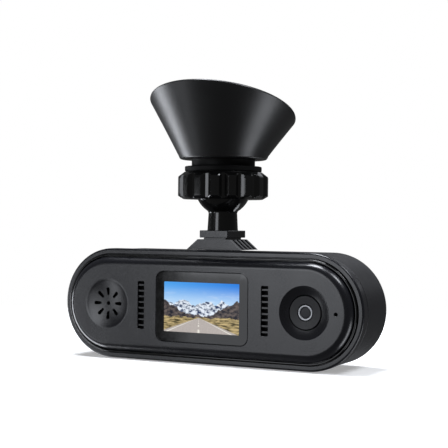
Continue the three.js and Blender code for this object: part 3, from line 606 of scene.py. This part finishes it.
def buildRearShell(look):
    r, back, backRound, front, neckR, neckFront, inner = list(look.values())[:7]
    outer = filleted([(inner - 2, back), (r, back, backRound), (r, front, 0.3), (neckR, front - 0.02, 0.08),
        (neckR, neckFront, 0.15), (inner, neckFront), (inner, back - 1.9, 1.6), (inner - 2, back - 1.8)],
        steps=8)
    shell = meshObject("rearShell", caseSkin(outer, steps=56))
    lensHole = meshObject("cutter", turnedSkin([(0, 24), (7.9, 24), (7.9, 32), (0, 32)], behindFace(0), 64))
    cardSlot = boxCutter(-58.5, faceY + look["cardDepth"], midZ, 8, 1.5, 11.6)
    plug = [(9.6, 3.9, 1.9, -64), (9.6, 3.9, 1.9, -60.3), (9.3, 3.6, 1.78, -60.0), (9.3, 3.6, 1.78, -50)]
    combine(shell, [lensHole, cardSlot, meshObject("cutter", plateSkin(plug, intoEnd, steps=8))])
    sink = [(0, 24), (1.3, 24), (1.3, 27.2), (2.2, 27.2), (2.2, 28.2), (2.5, 28.5), (2.5, 30), (0, 30)]
    postX, postZ, louvreX, pitch = (look[k] for k in ("postX", "postZ", "louvreX", "louvrePitch"))
    repeat(shell, carveTree, meshObject("sink", turnedSkin(sink, alongDepth, 32)), 2,
        (-postX, faceY, midZ - postZ), (2 * postX, 0, 0), rows=2, rowStep=(0, 0, 2 * postZ))
    slot = (look["louvreWidth"], look["louvreHeight"], 0.7)
    layers = [sized(slot, grow, depth) for grow, depth in ((0, 24), (0, 28.2), (0.25, 28.45), (0.25, 30))]
    louvre = meshObject("louvre", plateSkin(layers, alongDepth, steps=6))
    low = -pitch * (look["louvres"] - 1) / 2
    repeat(shell, carveTree, louvre, look["louvres"], (-louvreX, faceY, midZ + low), (0, 0, pitch), rows=2,
        rowStep=(2 * louvreX, 0, 0))
    opening = (7.6, 4.8, 0.95)
    margins = ((0.15, -24), (0.15, -r - 0.05), (0, -r + 0.15), (0, -16))
    layers = [sized(opening, grow, h) for grow, h in margins]
    hole = meshObject("hole", plateSkin(layers, aboveFloor, steps=6))
    first = -look["buttonPitch"] * (look["buttons"] - 1) / 2
    repeat(shell, carveTree, hole, look["buttons"], (first, faceY + look["buttonDepth"], midZ),
        (look["buttonPitch"], 0, 0))
    return finishPiece(shell, "shellBlack", "camera", ("rear_shell",), smooth=28)


rearShell = buildRearShell(shellLook)
print("rear shell:", len(rearShell.data.polygons), "faces")

# screen
screenLook = {"front": 0.1, "thick": 0.7, "edge": 0.12}
front, back = screenLook["front"], screenLook["front"] + screenLook["thick"]
holeSize = (pictureLook["width"], pictureLook["height"], 0.25)
edge = screenLook["edge"]
windowRing = plateSkin([sized(frameSize, 0, back), sized(frameSize, 0, front + edge),
    sized(frameSize, -edge * 0.3, front + edge * 0.3), sized(frameSize, -edge, front),
    sized(holeSize, 0, front), sized(holeSize, 0, back)], onFace, wrap=True, steps=10)
finishPiece(meshObject("displayWindow", windowRing), "screenBlack", "camera",
    ("display_window",))
picturePlate = plateSkin([sized(holeSize, -0.02, front), sized(holeSize, -0.02, back)], onFace, steps=10)
finishPiece(meshObject("litPicture", picturePlate), "picture", "camera", ("lcd_cell",))

# cabin camera
cabinLook = {"barrelR": 5.85, "ringOuter": 2.74, "ringInner": 2.0, "glassR": 1.9, "crown": 0.12}
barrelR, ringOuter, ringInner, glassR, crown = cabinLook.values()
barrel = filleted([(0, 3.0), (2.9, 3.0), (2.9, 1.2, 0.12), (barrelR, 1.0, 0.2), (barrelR, 6.0), (4.6, 6.4),
    (4.6, 9.2), (0, 9.2)], steps=5)
finishPiece(meshObject("cabinBarrel", turnedSkin(barrel, behindFace(lensX), 96)), "lensGrey", "camera",
    ("cabin_lens_barrel",))
ring = filleted([(ringInner, 2.6), (ringInner, 1.25, 0.18), (ringOuter, 1.2, 0.22), (ringOuter, 2.6)],
    steps=6)
finishPiece(meshObject("cabinRing", turnedSkin(ring, behindFace(lensX), 72, wrap=True)), "lensRing",
    "camera", ("cabin_lens_ring",))
glass = [(0, 1.35)]
for k in range(1, 9):
    angle = k * 0.1963  # eighths of a quarter turn
    glass.append((glassR * math.sin(angle), 1.35 + crown * (1 - math.cos(angle))))
glass += [(glassR, 2.6), (0, 2.6)]
finishPiece(meshObject("cabinGlass", turnedSkin(glass, behindFace(lensX), 56)), "cabinGlass", "camera",
    ("cabin_lens_glass",))

# road camera at the back
roadLook = {"hole": 7.9, "housingR": 12.5, "barrelR": 7.6, "stand": 5.6, "rings": 5, "glassR": 5.2,
    "crown": 2.45}
hole, housingR, barrelR, stand, rings, glassR, crown = roadLook.values()
backDepth = shellLook["back"]
housing = filleted([(hole, backDepth + 0.3), (housingR, backDepth + 0.3), (housingR, backDepth + 3.7, 1.2),
    (10.6, backDepth + stand, 0.9), (9.0, backDepth + stand, 0.35), (hole, backDepth + 4.2, 0.2)],
    closed=True, steps=8)
finishPiece(meshObject("roadHousing", turnedSkin(housing, behindFace(0), 112, wrap=True)), "rollGloss",
    "camera", ("road_lens_housing",))
barrelTop = [(barrelR, backDepth + 3.6, 0.25)]
for k in range(rings):  # light-trap steps down to the glass
    r = 7.1 - 0.32 * k
    barrelTop += [(r, backDepth + 3.5 - 0.28 * k), (r, backDepth + 3.22 - 0.28 * k)]
roadBarrel = [(0, 21.6), (6, 21.6), (6, 24), (barrelR, 24)] + barrelTop
roadBarrel = filleted(roadBarrel + [(5.6, backDepth + 1.2), (0, backDepth + 1.2)], steps=4)
finishPiece(meshObject("roadBarrel", turnedSkin(roadBarrel, behindFace(0), 96)), "shellBlack", "camera",
    ("road_lens_barrel",), smooth=24)
roadGlass = [(0, backDepth + 1.3), (5.22, backDepth + 1.3), (5.22, backDepth + 2.2)]
for k in range(1, 10):
    angle = k * 0.157  # tenths of a quarter turn
    roadGlass.append((glassR * math.cos(angle), backDepth + 2.2 + crown * math.sin(angle)))
roadGlass.append((0, backDepth + 2.2 + crown))
finishPiece(meshObject("roadGlass", turnedSkin(roadGlass, behindFace(0), 72)), "roadGlass", "camera",
    ("road_lens_glass",))
print("lenses made")

# case screws with cross recesses
screwLook = {"headR": 1.9, "headTop": 27.8, "headBottom": 27.0, "shankR": 1.0, "shankEnd": 19.4,
    "recess": (2.2, 0.9, 0.42)}


def buildScrews(look):
    headR, headTop, headBottom, shankR, shankEnd, (long, deep, thin) = look.values()
    head = filleted([(0, shankEnd), (shankR, shankEnd), (shankR, headBottom), (headR, headBottom),
        (headR, headTop - 0.15, 0.3), (0, headTop)], steps=5)
    screw = meshObject("screw", turnedSkin(head, alongDepth, 40))
    combine(screw, [boxCutter(0, headTop, 0, long, deep, thin), boxCutter(0, headTop, 0, thin, deep, long)])
    made = emptyPiece("caseScrews")
    repeat(made, copyTree, screw, 2, (-shellLook["postX"], faceY, midZ - shellLook["postZ"]),
        (2 * shellLook["postX"], 0, 0), rows=2, rowStep=(0, 0, 2 * shellLook["postZ"]))
    return finishPiece(made, "steel", "camera", [f"case_screw_{i}" for i in range(1, 5)])


buildScrews(screwLook)

# plug socket, memory card and buttons
plugLook = {"outer": (8.9, 3.2, 1.55), "wall": 0.35, "mouth": -58.8, "end": -51.4, "contacts": 6}


def buildPlugSocket(look):
    wall, outer, mouth, end = look["wall"], look["outer"], look["mouth"], look["end"]
    layers = [sized(outer, 0, end), sized(outer, 0, mouth + 0.1), sized(outer, -0.1, mouth),
        sized(outer, -0.75 * wall, mouth), sized(outer, -wall, mouth + 0.2), sized(outer, -wall, end - 1)]
    socket = meshObject("plugSocket", plateSkin(layers, intoEnd, steps=8))
    plugY = faceY + shellLook["plugDepth"]
    tongue = boxCutter((mouth + end) / 2 + 0.2, plugY, midZ, 6.6, 0.7, 6.4)
    combine(socket, [tongue], "UNION")
    finishPiece(socket, "brightMetal", "camera", ("usb_socket",))
    made = emptyPiece("plugContacts")
    strip = boxCutter(0, 0, 0, 4.0, 0.06, 0.5)
    repeat(made, copyTree, strip, look["contacts"], (mouth + 3.2, plugY + 0.4, midZ - 2.25), (0, 0, 0.9),
        rows=2, rowStep=(0, -0.8, 0))
    finishPiece(made, "brightMetal", "camera")


buildPlugSocket(plugLook)

cardLow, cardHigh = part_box("memory_card")
cardMid = (cardLow + cardHigh) / 2 / mm
cardSize = (cardHigh - cardLow) / mm
cardLook = {"corner": 0.65, "edge": 0.1, "grips": 3, "gripPitch": 0.35}
outline, half = (cardSize.x, cardSize.z, cardLook["corner"]), cardSize.y / 2
layers = [sized(outline, -0.05, -half), sized(outline, 0, cardLook["edge"] - half),
    sized(outline, 0, half - cardLook["edge"]), sized(outline, -0.05, half)]
card = meshObject("memoryCard", plateSkin(layers, lambda a, b, h: cardMid + alongDepth(a, b, h), steps=5))
grip = boxCutter(0, 0, 0, 0.16, 0.3, 9.0)
repeat(card, carveTree, grip, cardLook["grips"], (cardLow.x / mm + 0.5, cardLow.y / mm, cardMid.z),
    (cardLook["gripPitch"], 0, 0))
finishPiece(card, "chipBlack", "memory_card", ("memory_card",))

buttonLook = {"width": 7.0, "depth": 4.2, "corner": 0.9, "flange": 1.6, "dimpleR": 3.0, "dimple": 0.18}
w, d, corner, flange = (buttonLook[k] for k in ("width", "depth", "corner", "flange"))
for i in range(1, shellLook["buttons"] + 1):
    low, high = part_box(f"button_{i}")
    middle, bottom = (low + high) / 2 / mm, low.z / mm
    layers = [(w - 1.0, d - 1.0, corner - 0.4, bottom), (w - 0.4, d - 0.4, corner - 0.15, bottom + 0.05),
        (w - 0.1, d - 0.1, corner - 0.05, bottom + 0.25), (w, d, corner, bottom + 0.6),
        (w, d, corner, bottom + 2.0), (w + flange, d + flange, corner, bottom + 2.0),
        (w + flange, d + flange, corner, bottom + 2.7)]
    cap = plateSkin(layers, lambda a, b, h, m=middle: Vector((m.x + a, m.y + b, h)), steps=8)
    button = meshObject(f"pushButton{i}", cap)
    dimple = bmesh.new()
    under = Matrix.Translation((middle.x, middle.y, bottom + buttonLook["dimple"] - buttonLook["dimpleR"]))
    bmesh.ops.create_uvsphere(dimple, u_segments=24, v_segments=12, radius=buttonLook["dimpleR"],
        matrix=under)
    combine(button, [meshObject("cutter", dimple)])
    finishPiece(button, "buttonRubber", f"button_{i}", (f"button_{i}",))
print("buttons, card and plug socket made")

# shoe on the rail
shoeLow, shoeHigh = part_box("mount_shoe")
shoeLook = {"top": 13.0, "bottom": 22.0, "ribs": 5, "ribPitch": 3.2, "ribWidth": 1.5, "ribStand": 0.6,
    "railHead": 12.6, "railNeck": 8.6}


def buildShoe(look):
    low, high, z0, z1 = shoeLow.y / mm, shoeHigh.y / mm, shoeLow.z / mm, shoeHigh.z / mm

    def wedge(grow, start, stop, shave=0.0):
        bm = bmesh.new()
        bottom, top = look["bottom"] / 2 + grow, look["top"] / 2 + grow
        outline = [(-bottom, z0), (bottom, z0), (top, z1 - shave), (-top, z1 - shave)]
        skin(bm, [[Vector((a, y, z)) for a, z in outline] for y in (start, stop)])
        return bm

    shoe = meshObject("mountShoe", wedge(-look["ribStand"], low, high))
    plain = meshObject("plainFront", wedge(0, low, low + 1.3))
    combine(shoe, [plain], "UNION")
    ribs = emptyPiece("ribs")
    rib = meshObject("rib", wedge(0, -look["ribWidth"] / 2, look["ribWidth"] / 2, 0.02))
    softenEdges(rib, 0.25, 3)
    repeat(ribs, copyTree, rib, look["ribs"], (0, -look["ribPitch"] * (look["ribs"] - 1) / 2 + 0.4, 0),
        (0, look["ribPitch"], 0))
    combine(shoe, [ribs], "UNION")
    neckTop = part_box("mount_rail")[0].z / mm + 1.25 - 0.3
    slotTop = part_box("mount_rail")[1].z / mm + 0.3
    combine(shoe, [boxCutter(0, 2, (z0 + neckTop) / 2 - 1, look["railNeck"], high - low, neckTop - z0 + 2.2),
        boxCutter(0, 2, (neckTop + slotTop) / 2, look["railHead"], high - low, slotTop - neckTop)])
    return finishPiece(shoe, "satinGrey", "mount_arm", ("mount_shoe",), smooth=25)


buildShoe(shoeLook)

# ball stem
ballLook = {"r": 10.4, "z": 64.05, "plateWidth": 11.7, "plateDepth": 14.5, "plateLow": 45.5,
    "plateTop": 48.15, "stemLow": 5.75, "stemHigh": 5.25}


def buildBallStem(look):
    ballR, middle, w, d, z0, z1, stemLow, stemHigh = look.values()
    bevel = 0.15
    plate = plateSkin([(w - 2.2, d - 2.2, 0.5, z0 - 0.8), (w - 2.2, d - 2.2, 0.5, z0),
        (w - 2 * bevel, d - 2 * bevel, 0.25, z0), (w, d, 0.35, z0 + bevel), (w, d, 0.35, z1 - bevel),
        (w - 2 * bevel, d - 2 * bevel, 0.25, z1)], aboveFloor, steps=4)
    finishPiece(meshObject("ballPlate", plate), "satinGrey", "mount_arm", ("ball_stem",),
        smooth=25)
    meet = middle - math.sqrt(ballR ** 2 - stemHigh ** 2)
    profile = [(0, z1 - 0.3), (stemLow, z1 - 0.3), (stemLow, z1), (stemLow - 0.12, z1 + 0.3)]
    profile += [(stemHigh + 0.05, meet - 0.5), (stemHigh + 0.25, meet + 0.02)]
    start = math.asin((stemHigh + 0.55) / ballR)
    for k in range(33):
        angle = start + (math.pi - start) * k / 32
        r = ballR * math.sin(angle) if k < 32 else 0
        profile.append((r, middle - ballR * math.cos(angle)))
    finishPiece(meshObject("ballStem", turnedSkin(profile, aboveFloor, 96)), "rollGloss", "mount_arm")


buildBallStem(ballLook)

# clamp nut: one tooth's sector, copied round
nutLook = {"tip": 16.7, "root": 15.3, "teeth": 16, "z0": 59.6, "z1": 69.65, "turn": 0.283, "bore": 13.45,
    "blend": 0.05, "flank": ((0, 0), (0.4, 0), (0.435, 0.06), (0.6, 0.47), (0.785, 0.93), (0.82, 1), (1, 1))}


def buildNut(look):
    z0, z1, half = look["z0"], look["z1"], math.pi / look["teeth"]

    def reach(depth, z):  # radius of the outside at a share of the valley's depth
        tooth = look["tip"] - (look["tip"] - look["root"]) * depth
        upper = 14.3 + (z1 - z) * 1.32
        lower = 14.6 + (z - z0) * 1.83
        k = look["blend"]
        return 15 - k * math.log(sum(math.exp((15 - size) / k) for size in (tooth, upper, lower)))

    heights = [z0 + (z1 - z0) * t for t in (0, .01, .03, .06, .09, .12, .15, .2, .3, .4, .5, .6, .68, .74,
        .79, .83, .87, .9, .93, .96, .985, 1)]
    bm = bmesh.new()
    rows = []
    for share, depth in [(-a, d) for a, d in look["flank"][:0:-1]] + list(look["flank"]):
        angle = half * share
        path = [(reach(depth, z), z) for z in heights]
        path += [(look["bore"] + 0.3, z1), (look["bore"], z1 - 0.3), (look["bore"], z0 + 0.75),
            (9.9, z0 + 0.75), (10.1, z0 + 0.45), (10.75, z0)]
        rows.append([bm.verts.new((r * math.cos(angle), r * math.sin(angle), z)) for r, z in path])
    for a, b in zip(rows, rows[1:]):
        for k in range(len(a)):
            n = (k + 1) % len(a)
            bm.faces.new((a[k], b[k], b[n], a[n]))
    sector = meshObject("sector", bm)
    sector.data.transform(Matrix.Rotation(-math.pi / 2 + look["turn"], 4, "Z"))
    nut = emptyPiece("clampNut")
    repeat(nut, copyTree, sector, look["teeth"], turn=(0, 0, 2 * half))
    bm = bmesh.new()
    bm.from_mesh(nut.data)
    bmesh.ops.remove_doubles(bm, verts=bm.verts, dist=2e-6)
    bmesh.ops.recalc_face_normals(bm, faces=bm.faces)
    bm.to_mesh(nut.data)
    bm.free()
    return finishPiece(nut, "rollGloss", "clamp_nut", ("clamp_nut",), smooth=22)


buildNut(nutLook)

# ball socket's collar and neck
collarLook = {"skirt": 13.1, "flange": 14.2, "neck": 11.7, "low": 65.0, "flangeLow": 69.95,
    "flangeHigh": 71.7, "top": 74.2}
skirt, flange, neck, low, flangeLow, flangeHigh, top = collarLook.values()
collar = filleted([(12.2, low), (skirt, low, 0.2), (skirt, flangeLow), (flange, flangeLow, 0.12),
    (flange, flangeHigh, 0.35), (neck, flangeHigh, 0.3), (neck, top), (0, top), (0, 76.15), (5, 75.1),
    (9, 72.1), (11.3, 68.4)], closed=True, steps=6)
finishPiece(meshObject("ballSocket", turnedSkin(collar, aboveFloor, 96, wrap=True)), "matteBlack",
    "suction_head", ("ball_socket",))

# suction housing
domeLook = {"base": 16.4, "low": 74.25, "round": 1.15, "rim": 27.1, "edge": 1.2, "lip": 1.88, "shift": -0.38,
    "wall": 1.8, "floor": 76.9, "sides": 144, "slotWidth": 12.2, "slotLow": -9.4, "slotHigh": -2.2}


def buildHousing(look):
    base, low, corner, rimR, edge, lip, shift, wall, floor, sides = list(look.values())[:10]
    spokes = [2 * math.pi * i / sides for i in range(sides)]

    def level(r, z):
        return [Vector((r * math.cos(a), r * math.sin(a), z)) for a in spokes]

    def rim(r, h):
        return [inCup(r * math.cos(a), r * math.sin(a) + shift, h) for a in spokes]

    rings = [level(base - 1.7, low)]
    for k in range(9):  # rounded lower edge
        angle = math.pi / 2 * k / 8 * 0.82
        rings.append(level(base - corner * (1 - math.sin(angle)), low + corner * (1 - math.cos(angle))))
    lower, upper = level(base + 0.22, low + corner + 0.25), rim(rimR, edge)
    for k in range(13):
        rings.append([a.lerp(b, k / 12) for a, b in zip(lower, upper)])
    for k in range(1, 9):  # rounded rim
        angle = math.pi / 2 * k / 8
        rings.append(rim(rimR - 0.5 * (1 - math.cos(angle)), edge + (lip - edge) * math.sin(angle)))
    rings += [rim(rimR - 1.9, lip), rim(rimR - 2.0, 0.2), level(base - wall, floor)]
    bm = bmesh.new()
    skin(bm, rings)
    housing = meshObject("suctionHousing", bm)
    slotMid = (look["slotLow"] + look["slotHigh"]) / 2
    opening = (look["slotWidth"], look["slotHigh"] - look["slotLow"], 0.9)
    slot = plateSkin([(*opening, 16), (*opening, 30)], lambda a, b, h: inCup(a, h, slotMid + b), steps=6)
    combine(housing, [meshObject("cutter", slot)])
    return finishPiece(housing, "domeBlack", "suction_head", ("suction_housing",), smooth=40)


buildHousing(domeLook)

# membrane
membraneLook = {"r": 24.4, "low": 1.65, "dish": 0.35}
r, low, dish = membraneLook.values()
membrane = [(0, low)] + filleted([(20, low), (r, low, 0.2), (r - 0.7, membraneTop, 0.5),
    (22.6, membraneTop, 0.3), (22.0, membraneTop - 0.25, 0.3), (20.0, membraneTop - 0.25),
    (19.7, membraneTop - 0.25)], steps=5)
membrane += [(16, membraneTop - 0.27), (9, membraneTop - 0.32), (0, membraneTop - dish)]
finishPiece(meshObject("suctionMembrane", turnedSkin(membrane, inCup, 144)), "rubberBlack", "vacuum_plunger",
    ("suction_membrane",))

# lock lever
leverLook = {"width": 8.0, "pivotY": 15.5, "pivotH": -4.3, "nose": 11.65, "tip": 30.6,
    "pad": (11.0, 3.4, 0.95), "ridges": 4, "ridgePitch": 0.72, "boreR": 1.25}


def buildLever(look):
    pivotY, pivotH, nose, tip = look["pivotY"], look["pivotH"], look["nose"], look["tip"]
    outline = filleted([(nose, pivotH - 0.7), (pivotY - 0.8, pivotH - 1.65, 0.8),
        (pivotY + 1.6, pivotH - 1.65, 1.2), (tip - 4.2, pivotH - 1.0, 3.0), (tip - 0.7, pivotH - 1.55, 0.5),
        (tip, pivotH - 0.8, 0.5), (tip - 0.4, pivotH + 0.8, 0.5), (tip - 4.2, pivotH + 1.0, 3.0),
        (pivotY + 1.6, pivotH + 1.65, 1.2), (pivotY - 1.6, pivotH + 1.65, 1.2), (nose, pivotH)], steps=5)
    bm = bmesh.new()
    half = look["width"] / 2
    skin(bm, [[inCup(x, y, h) for y, h in outline] for x in (-half, half)])
    lever = meshObject("lockLever", bm)
    layers = [sized(look["pad"], grow, pivotH + h) for grow, h in ((-0.15, -1.2), (0, -1.0), (0, 0.4),
        (-0.15, 0.6))]
    pad = plateSkin(layers, lambda a, b, h: inCup(a, tip - 2.4 + b, h), steps=6)
    combine(lever, [meshObject("pad", pad)], "UNION")
    ridge = bmesh.new()
    skin(ridge, [[inCup(x, y, h) - rimCentre for y, h in ((-0.22, -0.12), (0.22, -0.12), (0.1, 0.14),
        (-0.1, 0.14))] for x in (-4.2, 4.2)])
    ridges = emptyPiece("ridges")
    firstRidge = inCup(0, tip - 3.5, pivotH + 0.62)
    repeat(ridges, copyTree, meshObject("ridge", ridge), look["ridges"], firstRidge,
        alongRim * look["ridgePitch"])
    combine(lever, [ridges], "UNION")
    pin = [(0, -8), (look["boreR"], -8), (look["boreR"], 8), (0, 8)]
    bore = turnedSkin(pin, lambda a, b, h: inCup(h, pivotY + a, pivotH + b), 32)
    combine(lever, [meshObject("cutter", bore)])
    return finishPiece(lever, "domeBlack", "lock_lever", ("lock_lever",), smooth=30)


buildLever(leverLook)
print("mount made")

# CAD pieces that stay, each in its own finish
kept = {
    "steel": ["lcd_frame", "speaker_basket", "microphone", "card_socket", "clamp_disc", "pressure_cup",
        "lever_pin", "rail_screw_1", "rail_screw_2", "shoe_screw_1", "shoe_screw_2", "socket_screw_1",
        "socket_screw_2"],
    "chipBlack": ["speaker_cone", "processor"],
    "meshBlack": ["vent_mesh_left", "vent_mesh_right"],
    "board": ["main_board", "button_board", "cabin_sensor_board", "road_sensor_board"],
    "brightMetal": ["heatsink", "backup_capacitor_1", "backup_capacitor_2"],
    "nylon": ["ball_liner", "clamp_ring", "plunger"],
    "shellBlack": ["mount_rail", "guide_plate"],
}
for finish, names in kept.items():
    for name in names:
        nodes[name].data.materials.clear()
        nodes[name].data.materials.append(finishes[finish])

# floor, backdrop and light
studioLook = {"floorSize": 3.0, "floorLift": 0.0, "fadeFrom": 0.14, "fadeTo": 0.3, "glow": 0.34,
    "background": 1.0, "ambient": 0.1, "lampColour": (0.91, 0.94, 1.0)}


def buildFloor(look):
    material, tree = newMaterial("Pale floor")
    place = addNode(tree, "ShaderNodeTexCoord").outputs["Object"]
    speck = noiseAt(tree, place, 60.0, 2.0)
    colour = mixColour(tree, speck, (0.93, 0.93, 0.93, 1), (0.95, 0.95, 0.95, 1))
    glow = addNode(tree, "ShaderNodeEmission", {"Color": colour, "Strength": look["glow"]}).outputs[0]
    lit = addNode(tree, "ShaderNodeAddShader", {0: addNode(tree, "ShaderNodeBsdfDiffuse",
        {"Color": colour}).outputs[0], 1: glow}).outputs[0]
    clear = addNode(tree, "ShaderNodeBsdfTransparent").outputs[0]
    far = addNode(tree, "ShaderNodeVectorMath", {0: place}, operation="LENGTH").outputs["Value"]
    fade = remap(tree, far, look["fadeFrom"], look["fadeTo"], smooth=True)
    finishMaterial(tree, addNode(tree, "ShaderNodeMixShader", {0: fade, 1: lit, 2: clear}).outputs[0])
    bpy.ops.mesh.primitive_plane_add(size=look["floorSize"], location=(0, 0, look["floorLift"]))
    floor = bpy.context.object
    floor.name = "floor"
    floor.data.materials.append(material)
    floor.visible_glossy = floor.visible_diffuse = floor.visible_shadow = False
    floor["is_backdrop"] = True


buildFloor(studioLook)

world = bpy.data.worlds.new("Studio")
bpy.context.scene.world = world
world.use_nodes = True
sky = world.node_tree
sky.nodes.clear()
seen = addNode(sky, "ShaderNodeLightPath").outputs["Is Camera Ray"]
around = addNode(sky, "ShaderNodeBackground", {"Color": (1, 1, 1, 1),
    "Strength": studioLook["ambient"]}).outputs[0]
white = addNode(sky, "ShaderNodeBackground", {"Color": (1, 1, 1, 1),
    "Strength": studioLook["background"]}).outputs[0]
addNode(sky, "ShaderNodeOutputWorld", {0: addNode(sky, "ShaderNodeMixShader",
    {0: seen, 1: around, 2: white}).outputs[0]})

caseMiddle = inCase(0, 14, 0) * mm
lamps = {
    # name: azimuth and height in degrees, distance, width and height in metres, power in watts
    "key box": (-18.5, 1, 1.0, 0.4, 0.6, 1.35),
    "side box": (-44, -13, 1.0, 0.22, 0.5, 1.0),
    "upper box": (-20, 9, 1.0, 0.34, 0.42, 1.0),
    "left strip": (-89, -27, 0.8, 0.28, 0.8, 5.7),
    "right strip": (97, -38, 0.8, 0.34, 0.56, 2.6),
    "top box": (-90, 82, 0.8, 0.32, 0.34, 8.5),
    "corner box": (80, 56, 0.8, 0.24, 0.24, 3.2),
    "rear box": (150, 22, 0.9, 0.4, 0.3, 0.2),
    "low rear box": (160, -46, 0.8, 0.3, 0.2, 0.5),
    "back box": (182, 30, 0.9, 0.5, 0.25, 0.28),
    "crown box": (-128, 68, 0.8, 0.3, 0.25, 0.9),
}


def buildLamps():
    for name, (azimuth, height, distance, width, tall, power) in lamps.items():
        data = bpy.data.lights.new(name, "AREA")
        data.shape, data.size, data.size_y, data.energy = "RECTANGLE", width, tall, power
        data.color = studioLook["lampColour"]
        lamp = bpy.data.objects.new(name, data)
        bpy.context.scene.collection.objects.link(lamp)
        a, e = math.radians(azimuth), math.radians(height)
        away = Vector((math.sin(a) * math.cos(e), -math.cos(a) * math.cos(e), math.sin(e)))
        lamp.location = caseMiddle + Vector((0, 0, 0.03)) + away * distance
        lamp.rotation_mode = "QUATERNION"
        lamp.rotation_quaternion = away.to_track_quat("Z", "Y")


buildLamps()

# camera
cameraLook = {"lens": 91.69, "azimuth": 27.3935, "height": 0.12146, "roll": 0.58544,
    "fromFace": (194.53, -358.042, 30.941)}


def buildCamera(look):
    data = bpy.data.cameras.new("camera")
    data.lens, data.sensor_width, data.clip_start, data.clip_end = look["lens"], 36.0, 0.02, 20
    viewer = bpy.data.objects.new("camera", data)
    bpy.context.scene.collection.objects.link(viewer)
    a, e, roll = (math.radians(look[k]) for k in ("azimuth", "height", "roll"))
    backward = Vector((math.sin(a) * math.cos(e), -math.cos(a) * math.cos(e), math.sin(e)))
    right = Vector((math.cos(a), math.sin(a), 0))
    upward = backward.cross(right)
    across = right * math.cos(roll) + upward * math.sin(roll)
    tall = upward * math.cos(roll) - right * math.sin(roll)
    turn = Matrix((across, tall, backward)).transposed()
    x, depth, height = look["fromFace"]
    viewer.matrix_world = Matrix.Translation(inCase(x, depth, height) * mm) @ turn.to_4x4()
    bpy.context.scene.camera = viewer


buildCamera(cameraLook)
bpy.context.scene.view_settings.view_transform = "Standard"
print("stage set")

bpy.context.view_layer.update()
low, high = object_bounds()
